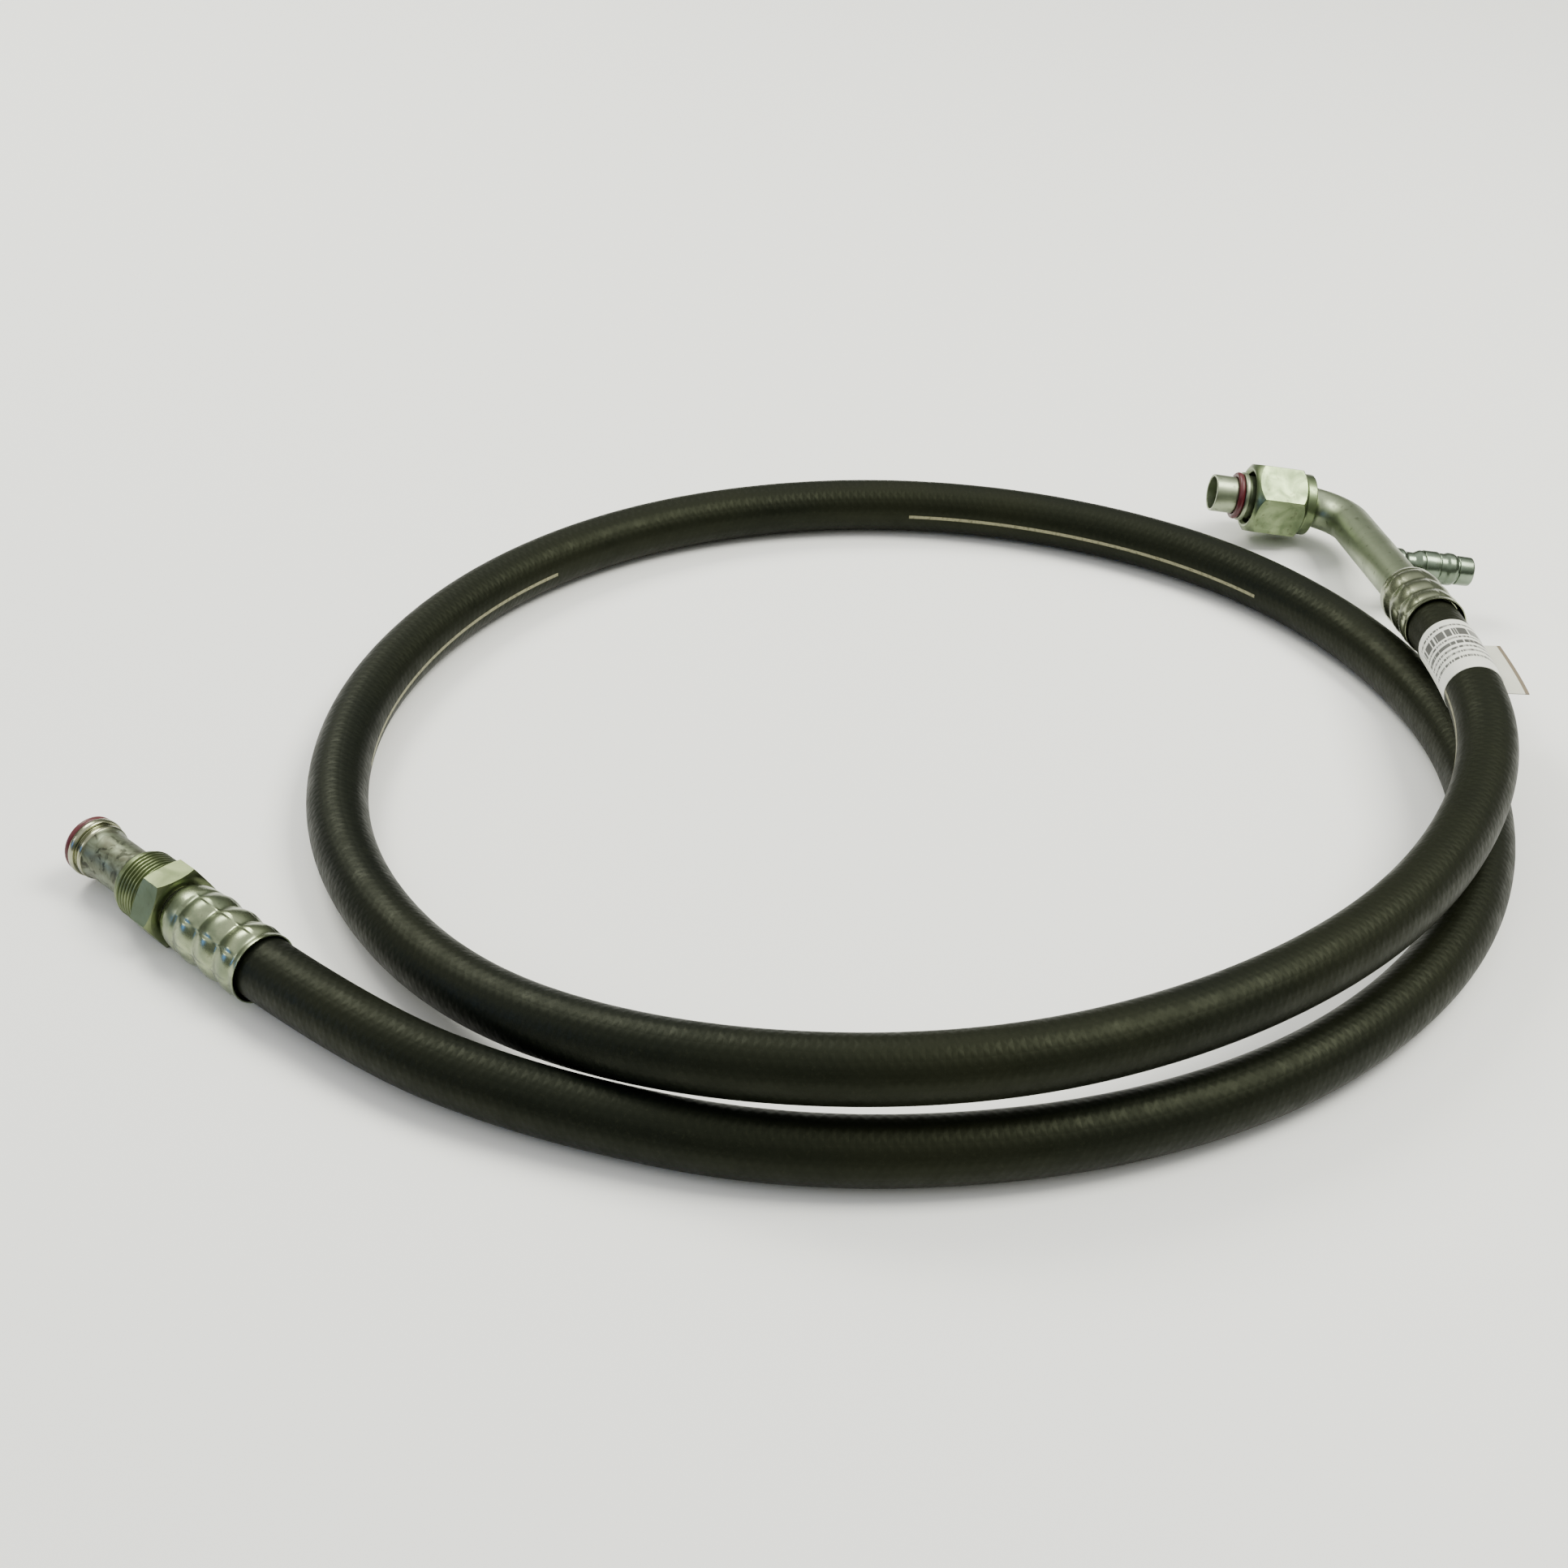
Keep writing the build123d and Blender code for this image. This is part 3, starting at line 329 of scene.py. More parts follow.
def hose_wall(name, points, inner, outer):
    """A closed layer of the hose wall between two radii."""
    outside = hose_skin(name, points, outer, WALL_SIDES)
    mesh = outside.data
    count = len(mesh.vertices)
    inside = [points[i // WALL_SIDES] + (mesh.vertices[i].co - points[i // WALL_SIDES]) * (inner / outer)
              for i in range(count)]
    vertices = [vertex.co.copy() for vertex in mesh.vertices] + inside
    faces = [tuple(face.vertices) for face in mesh.polygons]
    faces += [tuple(count + index for index in reversed(face)) for face in faces]
    last_ring = count - WALL_SIDES
    for side in range(WALL_SIDES):
        beside = (side + 1) % WALL_SIDES
        faces.append((beside, side, count + side, count + beside))
        here, ahead = last_ring + side, last_ring + beside
        faces.append((here, ahead, count + ahead, count + here))
    bpy.data.objects.remove(outside)
    bpy.data.meshes.remove(mesh)
    return new_piece(name, vertices, faces)


coarse_line = smooth_line("hose_wall_line", HOSE_ROUTE, 12)
wall_layers = [
    ("hose_wall_inner_tube", "hose_inner_tube", "inner_rubber", 6.35, 7.5, (0.02, 0.02, 0.02, 1)),
    ("hose_wall_barrier", "hose_barrier", "barrier_film", 7.55, 7.75, (0.55, 0.5, 0.36, 1)),
    ("hose_wall_tie_layer", "hose_tie_layer", "tie_rubber", 7.8, 8.35, (0.03, 0.03, 0.03, 1)),
    ("hose_wall_braid", "hose_braid", "braid_yarn", 8.4, 8.95, (0.6, 0.57, 0.48, 1)),
]
for name, node, slot, inner, outer, colour in wall_layers:
    layer = hose_wall(name, coarse_line, inner * MM, outer * MM)
    layer.data.materials.append(wall_material(name, colour, 0.6))
    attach(layer, "hose_and_tubes")
    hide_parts(node)

# ---------------------------------------------------------------------------
# Hose label
# A white film wrapped round the hose beside the elbow's ferrule, with its free
# end stuck to itself as a flag. It carries plain bars and rows of dashes.
# ---------------------------------------------------------------------------

LABEL_START = 46 * MM
LABEL_END = 81 * MM
LABEL_RADIUS = 10.22 * MM
LABEL_REACH = 19 * MM
FLAG_HALF_THICKNESS = 0.15 * MM
LABEL_SIDES = 72
FLAG_ROOT_TURN = 0.905
FLAG_TIP_TURN = 0.944
FLAG_EDGE_HALF_TURN = 0.0145

# Rows of print: middle and half height in millimetres, dashes to the turn, and how much stays blank.
LABEL_ROWS = [
    (4.2, 0.9, 150.0, 0.45),
    (9.3, 3.6, 85.0, 0.44),
    (13.6, 0.9, 170.0, 0.47),
    (16.9, 1.6, 105.0, 0.38),
    (20.3, 1.0, 160.0, 0.45),
    (23.4, 1.0, 170.0, 0.46),
    (27.0, 1.1, 140.0, 0.45),
]


def lofted(name, rings, closed=False, sharp_angle=32.0):
    """A skin through rings of points; closed joins the last ring back to the first."""
    around = len(rings[0])
    vertices = [point for ring in rings for point in ring]
    faces = []
    for ring in range(len(rings) if closed else len(rings) - 1):
        here = ring * around
        ahead = ((ring + 1) % len(rings)) * around
        for side in range(around):
            beside = (side + 1) % around
            faces.append((here + side, here + beside, ahead + beside, ahead + side))
    piece = new_piece(name, vertices, faces)
    shape = bmesh.new()
    shape.from_mesh(piece.data)
    bmesh.ops.recalc_face_normals(shape, faces=shape.faces)
    shape.to_mesh(piece.data)
    shape.free()
    piece.data.set_sharp_from_angle(angle=math.radians(sharp_angle))
    return piece


def label_outline(radius, flag_half):
    """The label's section: nearly a full turn, then out along the flag and back."""
    gap = flag_half / radius
    outline = []
    for side in range(LABEL_SIDES + 1):
        turn = gap + (math.tau - 2 * gap) * side / LABEL_SIDES
        outline.append((math.cos(turn) * radius, math.sin(turn) * radius))
    for share in (0.25, 0.5, 0.75, 1.0):
        outline.append((radius + (LABEL_REACH - radius) * share, -flag_half))
    for share in (1.0, 0.75, 0.5, 0.25):
        outline.append((radius + (LABEL_REACH - radius) * share, flag_half))
    return outline


def label_film():
    """White film, faintly yellowed, with bars and rows of dashes printed round its upper side, and painted
    shade on its flag.
    """
    material, tree, shader, add = new_material("label_film")
    split = add("ShaderNodeSeparateXYZ", {0: add("ShaderNodeUVMap", uv_map="along").outputs[0]})
    around, along = split.outputs[0], split.outputs[1]
    where = add("ShaderNodeTexCoord").outputs["Object"]
    cloud = noise(add, where, 120.0, 3.0)
    base = blend_colours(add, cloud, (0.66, 0.67, 0.60, 1), (0.80, 0.80, 0.75, 1))
    printed = None
    for row, (middle, half_height, dashes, blank) in enumerate(LABEL_ROWS):
        row_turns = maths(add, "MULTIPLY", around, dashes)
        row_place = add("ShaderNodeCombineXYZ", {0: row_turns, 1: float(row * 7)})
        ink = noise(add, row_place.outputs[0], 1.0, 0.0)
        mark = maths(add, "GREATER_THAN", ink, blank)
        off = maths(add, "ABSOLUTE", maths(add, "SUBTRACT", along, LABEL_START + middle * MM))
        in_row = maths(add, "LESS_THAN", off, half_height * 0.7 * MM)
        row_ink = maths(add, "MULTIPLY", mark, in_row)
        printed = row_ink if printed is None else maths(add, "MAXIMUM", printed, row_ink)
    past_start = maths(add, "GREATER_THAN", around, 0.02)
    before_end = maths(add, "LESS_THAN", around, 0.46)
    on_top = maths(add, "MULTIPLY", past_start, before_end)
    printed = maths(add, "MULTIPLY", maths(add, "MULTIPLY", printed, on_top), 0.92)
    base = blend_colours(add, printed, base, (0.02, 0.02, 0.02, 1))
    # Painted shade: the flag is the same film as the sleeve, blended half way to a grey cream so that it
    # sits darker than the floor.
    flag_painted_shade = maths(add, "GREATER_THAN", around, FLAG_ROOT_TURN)
    base = blend_colours(add, maths(add, "MULTIPLY", flag_painted_shade, 0.5), base, (0.46, 0.46, 0.38, 1))
    flag_edge = maths(add, "COMPARE", around, FLAG_TIP_TURN, FLAG_EDGE_HALF_TURN)
    base = blend_colours(add, maths(add, "MULTIPLY", flag_edge, 0.85), base, (0.10, 0.06, 0.025, 1))
    tree.links.new(base, shader.inputs["Base Color"])
    shader.inputs["Roughness"].default_value = 0.42
    bump = add("ShaderNodeBump", {"Height": cloud, "Strength": 0.15, "Distance": 0.2 * MM})
    tree.links.new(bump.outputs[0], shader.inputs["Normal"])
    return material


travelled = distances_along(centreline)
label_points = [i for i, distance in enumerate(travelled) if LABEL_START <= distance <= LABEL_END][::2]
headings = line_directions(centreline)
label_rings = []
label_lengths = []
for step, index in enumerate(label_points):
    ahead = headings[index]
    sideways = (Vector((1, 0, 0)) - ahead * ahead.x).normalized()
    upright = ahead.cross(sideways)
    ends = [step] if 0 < step < len(label_points) - 1 else [step, step]
    for copy in range(len(ends)):
        is_edge = len(ends) == 2 and (copy == 0) == (step == 0)
        radius = HOSE_RADIUS - 0.02 * MM if is_edge else LABEL_RADIUS
        flag_half = 0.02 * MM if is_edge else FLAG_HALF_THICKNESS
        ring = [centreline[index] + sideways * x + upright * y for x, y in label_outline(radius, flag_half)]
        label_rings.append(ring)
        label_lengths.append(travelled[index])
label = lofted("hose_label_film", label_rings)
unwrap_rings(label, len(label_rings[0]), label_lengths)
label.data.materials.append(label_film())
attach(label, "hose_and_tubes")
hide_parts("hose_label")

# ---------------------------------------------------------------------------
# Elbow ferrule
# A zinc plated steel shell, crimped in eight jaws into three rounded bands. Its
# mouth flares off the hose and its back end closes on the stem.
# ---------------------------------------------------------------------------

hose_start = Vector(HOSE_ROUTE[0])
leg_direction = (Vector(HOSE_ROUTE[1]) - hose_start).normalized()
elbow_mouth = hose_start + leg_direction * HOSE_INSERTION
nose_direction = Vector((-0.989, -0.072, 0.132))
nose_direction = (nose_direction - leg_direction * nose_direction.dot(leg_direction)).normalized()
elbow_across = leg_direction.cross(nose_direction).normalized()

CRIMP_JAWS = 8
CRIMP_MEAN_RADIUS = 11.0
CRIMP_FIRST_CREST = 5.6
CRIMP_PITCH = 10.0
CRIMP_ROOT_RADIUS = 8.4
CRIMP_SIDES = 192
STEM_BORE_RADIUS = 7.0

# The bore of a shell's mouth, as (station, radius) in millimetres, from its depth out to the rim.
MOUTH_BORE = [
    (4.0, STEM_BORE_RADIUS),
    (3.9, 9.9),
    (3.2, 10.02),
    (1.6, 10.12),
    (0.3, 10.55),
    (-0.05, 10.75),
    (-0.12, 11.0),
]


def eased(value, start, end):
    """0 before start, 1 after end, and a smooth rise between."""
    share = min(max((value - start) / (end - start), 0.0), 1.0)
    return share * share * (3 - 2 * share)


def ring_points(centre, axis, across, radii):
    """Points round an axis, one for each radius in the list."""
    beside = axis.cross(across)
    points = []
    for side, radius in enumerate(radii):
        turn = math.tau * side / len(radii)
        points.append(centre + (across * math.cos(turn) + beside * math.sin(turn)) * radius)
    return points


def crimped_radius(station, turn, length, closing, depth):
    """Outside radius, in millimetres, of a crimped shell; the bands fade where two jaws met."""
    from_gap = abs((turn * CRIMP_JAWS + 0.5) % 1.0 - 0.5)
    jaw = 1 - 0.55 * math.exp(-((from_gap / 0.06) ** 2))
    flatness = 1 - 0.05 * (1 - math.cos(math.pi / CRIMP_JAWS)) * math.cos(math.tau * (from_gap - 0.5))
    arch = math.cos(math.pi * (station - CRIMP_FIRST_CREST) / CRIMP_PITCH)
    rounded_wave = 2 * (math.sqrt(arch * arch + 0.05) - 0.224) / 0.8 - 1
    dome_start = length - closing
    in_bands = eased(station, 1.0, 4.0) * (1 - eased(station, dome_start - 1.5, dome_start + 1.0))
    radius = CRIMP_MEAN_RADIUS * (1 + (flatness - 1) * in_bands) + depth * jaw * rounded_wave * in_bands
    radius += 0.25 * (1 - eased(station, 0.0, 2.2))
    into_dome = max(station - dome_start, 0.0) / closing
    return radius - (CRIMP_MEAN_RADIUS - CRIMP_ROOT_RADIUS) * (1 - math.sqrt(max(1 - into_dome ** 2, 0.0)))


def crimped_shell(name, mouth, axis, across, length, closing, depth):
    """The shell's outside from rim to dome, then back along the bore of its mouth."""
    rings = []
    steps = int(length / 0.3)
    turns = [side / CRIMP_SIDES for side in range(CRIMP_SIDES)]
    for step in range(steps + 1):
        station = length * step / steps
        radii = [crimped_radius(station, turn, length, closing, depth) * MM for turn in turns]
        rings.append(ring_points(mouth + axis * station * MM, axis, across, radii))
    for station, radius in [(length, STEM_BORE_RADIUS)] + MOUTH_BORE:
        rings.append(ring_points(mouth + axis * station * MM, axis, across, [radius * MM] * CRIMP_SIDES))
    return lofted(name, rings, closed=True, sharp_angle=45.0)


def zinc_plate(name, bright, dull, specks_share, roughness, patch_scale):
    """Zinc plating under a thin passivate: cloudy patches, fine grain and a few dark specks."""
    material, tree, shader, add = new_material(name)
    where = add("ShaderNodeTexCoord").outputs["Object"]
    patches = noise(add, where, patch_scale, 5.0, 0.7)
    grain = noise(add, where, 1500.0, 3.0)
    tarnish = noise(add, where, 420.0, 4.0)
    tone = remap(add, patches, 0.36, 0.66)
    base = blend_colours(add, tone, bright, dull)
    speck = remap(add, tarnish, 0.62, 0.70, 0.0, specks_share)
    base = blend_colours(add, speck, base, (0.07, 0.07, 0.045, 1))
    tree.links.new(base, shader.inputs["Base Color"])
    shader.inputs["Metallic"].default_value = 1.0
    rough = remap(add, patches, 0.3, 0.7, roughness, roughness + 0.12)
    tree.links.new(rough, shader.inputs["Roughness"])
    relief = maths(add, "ADD", grain, maths(add, "MULTIPLY", tarnish, 0.8))
    bump = add("ShaderNodeBump", {"Height": relief, "Strength": 0.16, "Distance": 0.05 * MM})
    tree.links.new(bump.outputs[0], shader.inputs["Normal"])
    return material


elbow_shell = crimped_shell(
    "elbow_crimped_shell", elbow_mouth, -leg_direction, elbow_across, 34.0, 5.0, 0.36
)
elbow_shell.data.materials.append(
    zinc_plate("elbow_ferrule_plate", (0.40, 0.43, 0.29, 1), (0.20, 0.22, 0.145, 1), 0.35, 0.19, 90.0)
)
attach(elbow_shell, "hose_and_tubes")
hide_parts("elbow_ferrule")

# ---------------------------------------------------------------------------
# Elbow tube
# A 5/8 inch steel tube, bent to a right angle and plated. A shoulder, a bead
# and a pilot are formed on its nose, and it is brazed to the stem at its foot.
# ---------------------------------------------------------------------------

LEG_LENGTH = 123.7 * MM
BEND_RADIUS = 20 * MM
BEND_STEPS = 28
TUBE_RADIUS = 7.94
TUBE_BORE_RADIUS = 6.44
PILOT_RADIUS = 7.4
O_RING_SEAT_RADIUS = 6.95
BEAD_RADIUS = 9.7
TUBE_SIDES = 96
elbow_corner = elbow_mouth - leg_direction * LEG_LENGTH
bend_centre = elbow_corner + (leg_direction + nose_direction) * BEND_RADIUS


def rounded(profile, steps=4):
    """A profile of (station, radius, rounding) with each corner replaced by a short arc."""
    points = []
    count = len(profile)
    for index, (station, radius, rounding) in enumerate(profile):
        corner = Vector((station, radius))
        if rounding == 0:
            points.append(corner)
            continue
        before = Vector(profile[index - 1][:2])
        after = Vector(profile[(index + 1) % count][:2])
        run_in = (before - corner).normalized() * min(rounding, (before - corner).length * 0.49)
        run_out = (after - corner).normalized() * min(rounding, (after - corner).length * 0.49)
        for step in range(steps + 1):
            share = step / steps
            points.append(corner + run_in * (1 - share) ** 2 + run_out * share ** 2)
    return points


def turned_rings(origin, axis, across, profile, sides):
    """Rings of a turned shape, whose profile is in millimetres from the origin."""
    return [
        ring_points(origin + axis * station * MM, axis, across, [radius * MM] * sides)
        for station, radius in profile
    ]


def bend_rings(radius):
    """Rings of one radius round the bend, from the leg to the nose."""
    rings = []
    for step in range(BEND_STEPS + 1):
        turn = math.pi / 2 * step / BEND_STEPS
        outward = nose_direction * math.cos(turn) + leg_direction * math.sin(turn)
        heading = nose_direction * math.sin(turn) - leg_direction * math.cos(turn)
        place = bend_centre - outward * BEND_RADIUS
        rings.append(ring_points(place, heading, elbow_across, [radius * MM] * TUBE_SIDES))
    return rings


leg_outside = [
    (33.0, STEM_BORE_RADIUS),
    (33.0, TUBE_RADIUS),
    (70.0, TUBE_RADIUS),
]
nose_profile = rounded([
    (30.0, TUBE_RADIUS, 0),
    (33.0, 8.5, 0.5),
    (40.0, 8.5, 0.3),
    (40.0, BEAD_RADIUS, 0.8),
    (42.0, BEAD_RADIUS, 0.7),
    (42.0, O_RING_SEAT_RADIUS, 0),
    (44.5, O_RING_SEAT_RADIUS, 0),
    (44.5, PILOT_RADIUS, 0.3),
    (53.4, PILOT_RADIUS, 0.4),
    (53.4, TUBE_BORE_RADIUS, 0.3),
    (24.0, TUBE_BORE_RADIUS, 0),
])
leg_bore = [(70.0, TUBE_BORE_RADIUS), (33.5, TUBE_BORE_RADIUS)]
elbow_rings = turned_rings(elbow_mouth, -leg_direction, elbow_across, leg_outside, TUBE_SIDES)
elbow_rings += bend_rings(TUBE_RADIUS)
elbow_rings += turned_rings(elbow_corner, nose_direction, elbow_across, nose_profile, TUBE_SIDES)
elbow_rings += reversed(bend_rings(TUBE_BORE_RADIUS))
elbow_rings += turned_rings(elbow_mouth, -leg_direction, elbow_across, leg_bore, TUBE_SIDES)
elbow_pipe = lofted("elbow_bent_tube", elbow_rings, closed=True)
elbow_pipe.data.materials.append(
    zinc_plate("elbow_tube_plate", (0.34, 0.39, 0.27, 1), (0.21, 0.245, 0.165, 1), 0.5, 0.33, 60.0)
)
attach(elbow_pipe, "hose_and_tubes")
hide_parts("elbow_tube")

# ---------------------------------------------------------------------------
# Elbow O-ring
# A ring of dark red refrigerant-proof rubber, moulded, pushed over the pilot
# until it sits against the bead.
# ---------------------------------------------------------------------------

O_RING_RADIUS = 8.2 * MM
O_RING_SECTION_RADIUS = 1.25 * MM
O_RING_SECTION_SIDES = 24


def o_ring(name, centre, axis, across):
    """A torus with its axis along the tube."""
    rings = []
    for step in range(O_RING_SECTION_SIDES):
        turn = math.tau * step / O_RING_SECTION_SIDES
        place = centre + axis * math.sin(turn) * O_RING_SECTION_RADIUS
        radius = O_RING_RADIUS + math.cos(turn) * O_RING_SECTION_RADIUS
        rings.append(ring_points(place, axis, across, [radius] * TUBE_SIDES))
    return lofted(name, rings, closed=True)


def seal_rubber(name):
    """Dark red rubber with a soft sheen, cloudy where oil has dried on it."""
    material, tree, shader, add = new_material(name)
    where = add("ShaderNodeTexCoord").outputs["Object"]
    cloud = noise(add, where, 380.0, 4.0)
    base = blend_colours(add, cloud, (0.045, 0.003, 0.006, 1), (0.11, 0.007, 0.013, 1))
    tree.links.new(base, shader.inputs["Base Color"])
    sheen = remap(add, cloud, 0.3, 0.7, 0.3, 0.5)
    tree.links.new(sheen, shader.inputs["Roughness"])
    bump = add("ShaderNodeBump", {"Height": cloud, "Strength": 0.1, "Distance": 0.1 * MM})
    tree.links.new(bump.outputs[0], shader.inputs["Normal"])
    return material


red_rubber = seal_rubber("red_rubber")
elbow_ring_centre = elbow_corner + nose_direction * 43.25 * MM
elbow_ring = o_ring("elbow_seal_ring", elbow_ring_centre, nose_direction, elbow_across)
elbow_ring.data.materials.append(red_rubber)
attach(elbow_ring, "hose_and_tubes")
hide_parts("elbow_o_ring")

# ---------------------------------------------------------------------------
# Elbow nut
# A female hexagon nut, turned from plated bar, with a collar at its back and a
# well rounded front. It turns freely behind the bead.
# ---------------------------------------------------------------------------

FLAT_COLUMNS = 16


def hexagon_rings(origin, axis, across, flats, back, front):
    """Rings of a hexagon with a corner at across; back and front slopes are (station, radius) inwards."""
    columns = 6 * FLAT_COLUMNS
    limits = []
    for column in range(columns):
        from_flat = (column / FLAT_COLUMNS) % 1.0 - 0.5
        limits.append(flats / 2 / math.cos(from_flat * math.tau / 6))
    shares = (0.0, 0.2, 0.4, 0.6, 0.8, 1.0)
    beside = axis.cross(across)
    rings = []
    for slope, order in ((back, shares), (front, shares[::-1])):
        for share in order:
            ring = []
            for column, limit in enumerate(limits):
                turn = math.tau * column / columns
                station, radius = slope_point(slope, limit, share)
                outward = across * math.cos(turn) + beside * math.sin(turn)
                ring.append(origin + (axis * station + outward * radius) * MM)
            rings.append(ring)
    return rings


def slope_point(slope, limit, share):
    """The point a share of the way up a sloped end, where the slope stops at a radius limit."""
    top = slope[0]
    reached = [slope[0]]
    for lower, upper in zip(slope, slope[1:]):
        if upper[1] <= limit:
            top = upper
            reached.append(upper)
            continue
        part = (limit - lower[1]) / (upper[1] - lower[1])
        top = (lower[0] + (upper[0] - lower[0]) * part, limit)
        reached.append(top)
        break
    wanted = slope[0][1] + (top[1] - slope[0][1]) * share
    for lower, upper in zip(reached, reached[1:]):
        if wanted <= upper[1] + 1e-9:
            part = (wanted - lower[1]) / max(upper[1] - lower[1], 1e-9)
            return (lower[0] + (upper[0] - lower[0]) * part, wanted)
    return (top[0], limit)


def soften_edges(piece, width):
    """A small bevel on every hard edge."""
    bevel = piece.modifiers.new("softened edges", "BEVEL")
    bevel.width = width
    bevel.segments = 3
    bevel.limit_method = "ANGLE"
    bevel.angle_limit = math.radians(28)
    bevel.harden_normals = True


NUT_BACK_SLOPE = [(17.3, 12.9), (17.7, 13.5), (18.4, 14.5), (19.5, 15.6)]
NUT_FRONT_SLOPE = [(38.6, 12.0), (38.3, 12.6), (37.7, 13.4), (36.8, 14.4), (35.5, 15.6)]
NUT_ACROSS_FLATS = 27.0
NUT_TURN = math.radians(17)
nut_across = leg_direction * math.cos(NUT_TURN) - elbow_across * math.sin(NUT_TURN)
nut_columns = 6 * FLAT_COLUMNS
collar_profile = rounded([
    (13.0, 10.5, 0),
    (13.0, 12.3, 0.5),
    (16.7, 12.3, 0.3),
    (17.2, 11.9, 0),
])
bore_profile = rounded([
    (38.5, 11.3, 0),
    (37.6, 10.4, 0.2),
    (26.0, 10.3, 0),
    (26.0, 8.3, 0),
    (17.5, 8.3, 0),
])
nut_rings = turned_rings(elbow_corner, nose_direction, nut_across, collar_profile, nut_columns)
nut_rings += hexagon_rings(
    elbow_corner, nose_direction, nut_across, NUT_ACROSS_FLATS, NUT_BACK_SLOPE, NUT_FRONT_SLOPE
)
nut_rings += turned_rings(elbow_corner, nose_direction, nut_across, bore_profile, nut_columns)
elbow_hexagon = lofted("elbow_hexagon_nut", nut_rings, closed=True, sharp_angle=28.0)
soften_edges(elbow_hexagon, 0.25 * MM)
elbow_hexagon.data.materials.append(
    zinc_plate("elbow_nut_plate", (0.20, 0.25, 0.135, 1), (0.115, 0.15, 0.08, 1), 0.5, 0.28, 150.0)
)
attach(elbow_hexagon, "elbow_nut")
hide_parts("elbow_nut")

# ---------------------------------------------------------------------------
# Service port
# A turned steel body brazed into the side of the elbow tube. Behind its tip it
# has a ring and a groove for a quick coupler, and its mouth holds a valve core.
# ---------------------------------------------------------------------------

PORT_FROM_CORNER = 58 * MM
port_direction = -nose_direction
port_root = elbow_corner + leg_direction * PORT_FROM_CORNER
port_profile = rounded([
    (6.0, 5.7, 0),
    (7.9, 5.7, 0.4),
    (9.3, 4.8, 0.8),
    (12.6, 4.7, 0.4),
    (14.8, 5.9, 0.4),
    (16.0, 5.9, 0.2),
    (16.0, 5.6, 0),
    (16.4, 5.6, 0),
    (16.4, 6.1, 0.25),
    (22.0, 6.2, 0.3),
    (22.3, 5.5, 0),
    (22.6, 5.5, 0),
    (22.9, 5.8, 0.2),
    (25.0, 5.8, 0.5),
    (26.2, 6.3, 0.5),
    (28.4, 6.3, 0.5),
    (29.6, 5.8, 0.3),
    (29.9, 5.2, 0),
    (30.2, 5.2, 0),
    (30.5, 5.65, 0.3),
    (36.3, 5.65, 0.8),
    (36.3, 4.2, 0.25),
    (30.3, 4.2, 0),
    (30.3, 2.6, 0),
    (22.8, 2.6, 0),
    (22.8, 2.2, 0),
    (6.0, 2.2, 0),
])
port_body = lofted(
    "port_turned_body", turned_rings(port_root, port_direction, elbow_across, port_profile, 80), closed=True
)
port_body.data.materials.append(
    zinc_plate("port_plate", (0.21, 0.26, 0.20, 1), (0.13, 0.165, 0.12, 1), 0.3, 0.18, 80.0)
)
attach(port_body, "hose_and_tubes")
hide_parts("service_port")

# ---------------------------------------------------------------------------
# Valve core
# A turned brass body screwed into the port over a pale gasket. Its steel pin
# and spring stay bright, and the seal at the pin's foot is rubber.
# ---------------------------------------------------------------------------


def small_part_metal(name, clean, stained, roughness):
    """Turned or drawn metal of a small part, faintly stained."""
    material, tree, shader, add = new_material(name)
    where = add("ShaderNodeTexCoord").outputs["Object"]
    stain = noise(add, where, 700.0, 4.0)
    tree.links.new(blend_colours(add, stain, clean, stained), shader.inputs["Base Color"])
    shader.inputs["Metallic"].default_value = 1.0
    rough = remap(add, stain, 0.0, 1.0, roughness, roughness + 0.2)
    tree.links.new(rough, shader.inputs["Roughness"])
    return material


def dress(material, *nodes):
    """Put one material on pieces that are carried over from the frame."""
    for node in nodes:
        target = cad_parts[node]
        target.data.materials.clear()
        target.data.materials.append(material)


core_brass = small_part_metal("core_brass", (0.72, 0.52, 0.22, 1), (0.45, 0.32, 0.14, 1), 0.25)
bright_steel = small_part_metal("spring_wire", (0.62, 0.62, 0.60, 1), (0.40, 0.40, 0.38, 1), 0.2)
gasket_film = wall_material("gasket_film", (0.75, 0.76, 0.72, 1), 0.8)
dress(core_brass, "valve_core_body")
dress(bright_steel, "valve_pin", "valve_spring")
dress(gasket_film, "valve_gasket")
dress(red_rubber, "valve_seal")

# ---------------------------------------------------------------------------
# Straight ferrule
# The same crimped shell as on the elbow, pressed a little deeper, with a longer
# neck that ends in a dome behind the nut.
# ---------------------------------------------------------------------------

hose_end = Vector(HOSE_ROUTE[-1])
straight_direction = (hose_end - Vector(HOSE_ROUTE[-2])).normalized()
straight_mouth = hose_end - straight_direction * HOSE_INSERTION
straight_up = Vector((0, 0, 1))

straight_shell = crimped_shell(
    "straight_crimped_shell", straight_mouth, straight_direction, straight_up, 38.5, 8.0, 0.55
)
straight_shell.data.materials.append(
    zinc_plate("straight_ferrule_plate", (0.28, 0.32, 0.20, 1), (0.15, 0.18, 0.115, 1), 0.35, 0.22, 120.0)
)
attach(straight_shell, "hose_and_tubes")
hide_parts("straight_ferrule")

# ---------------------------------------------------------------------------
# Straight tube
# A straight 5/8 inch steel tube, its plating dulled and blotched by handling. A
# ring, a bead and a short lip for the O-ring are formed on its nose.
# ---------------------------------------------------------------------------


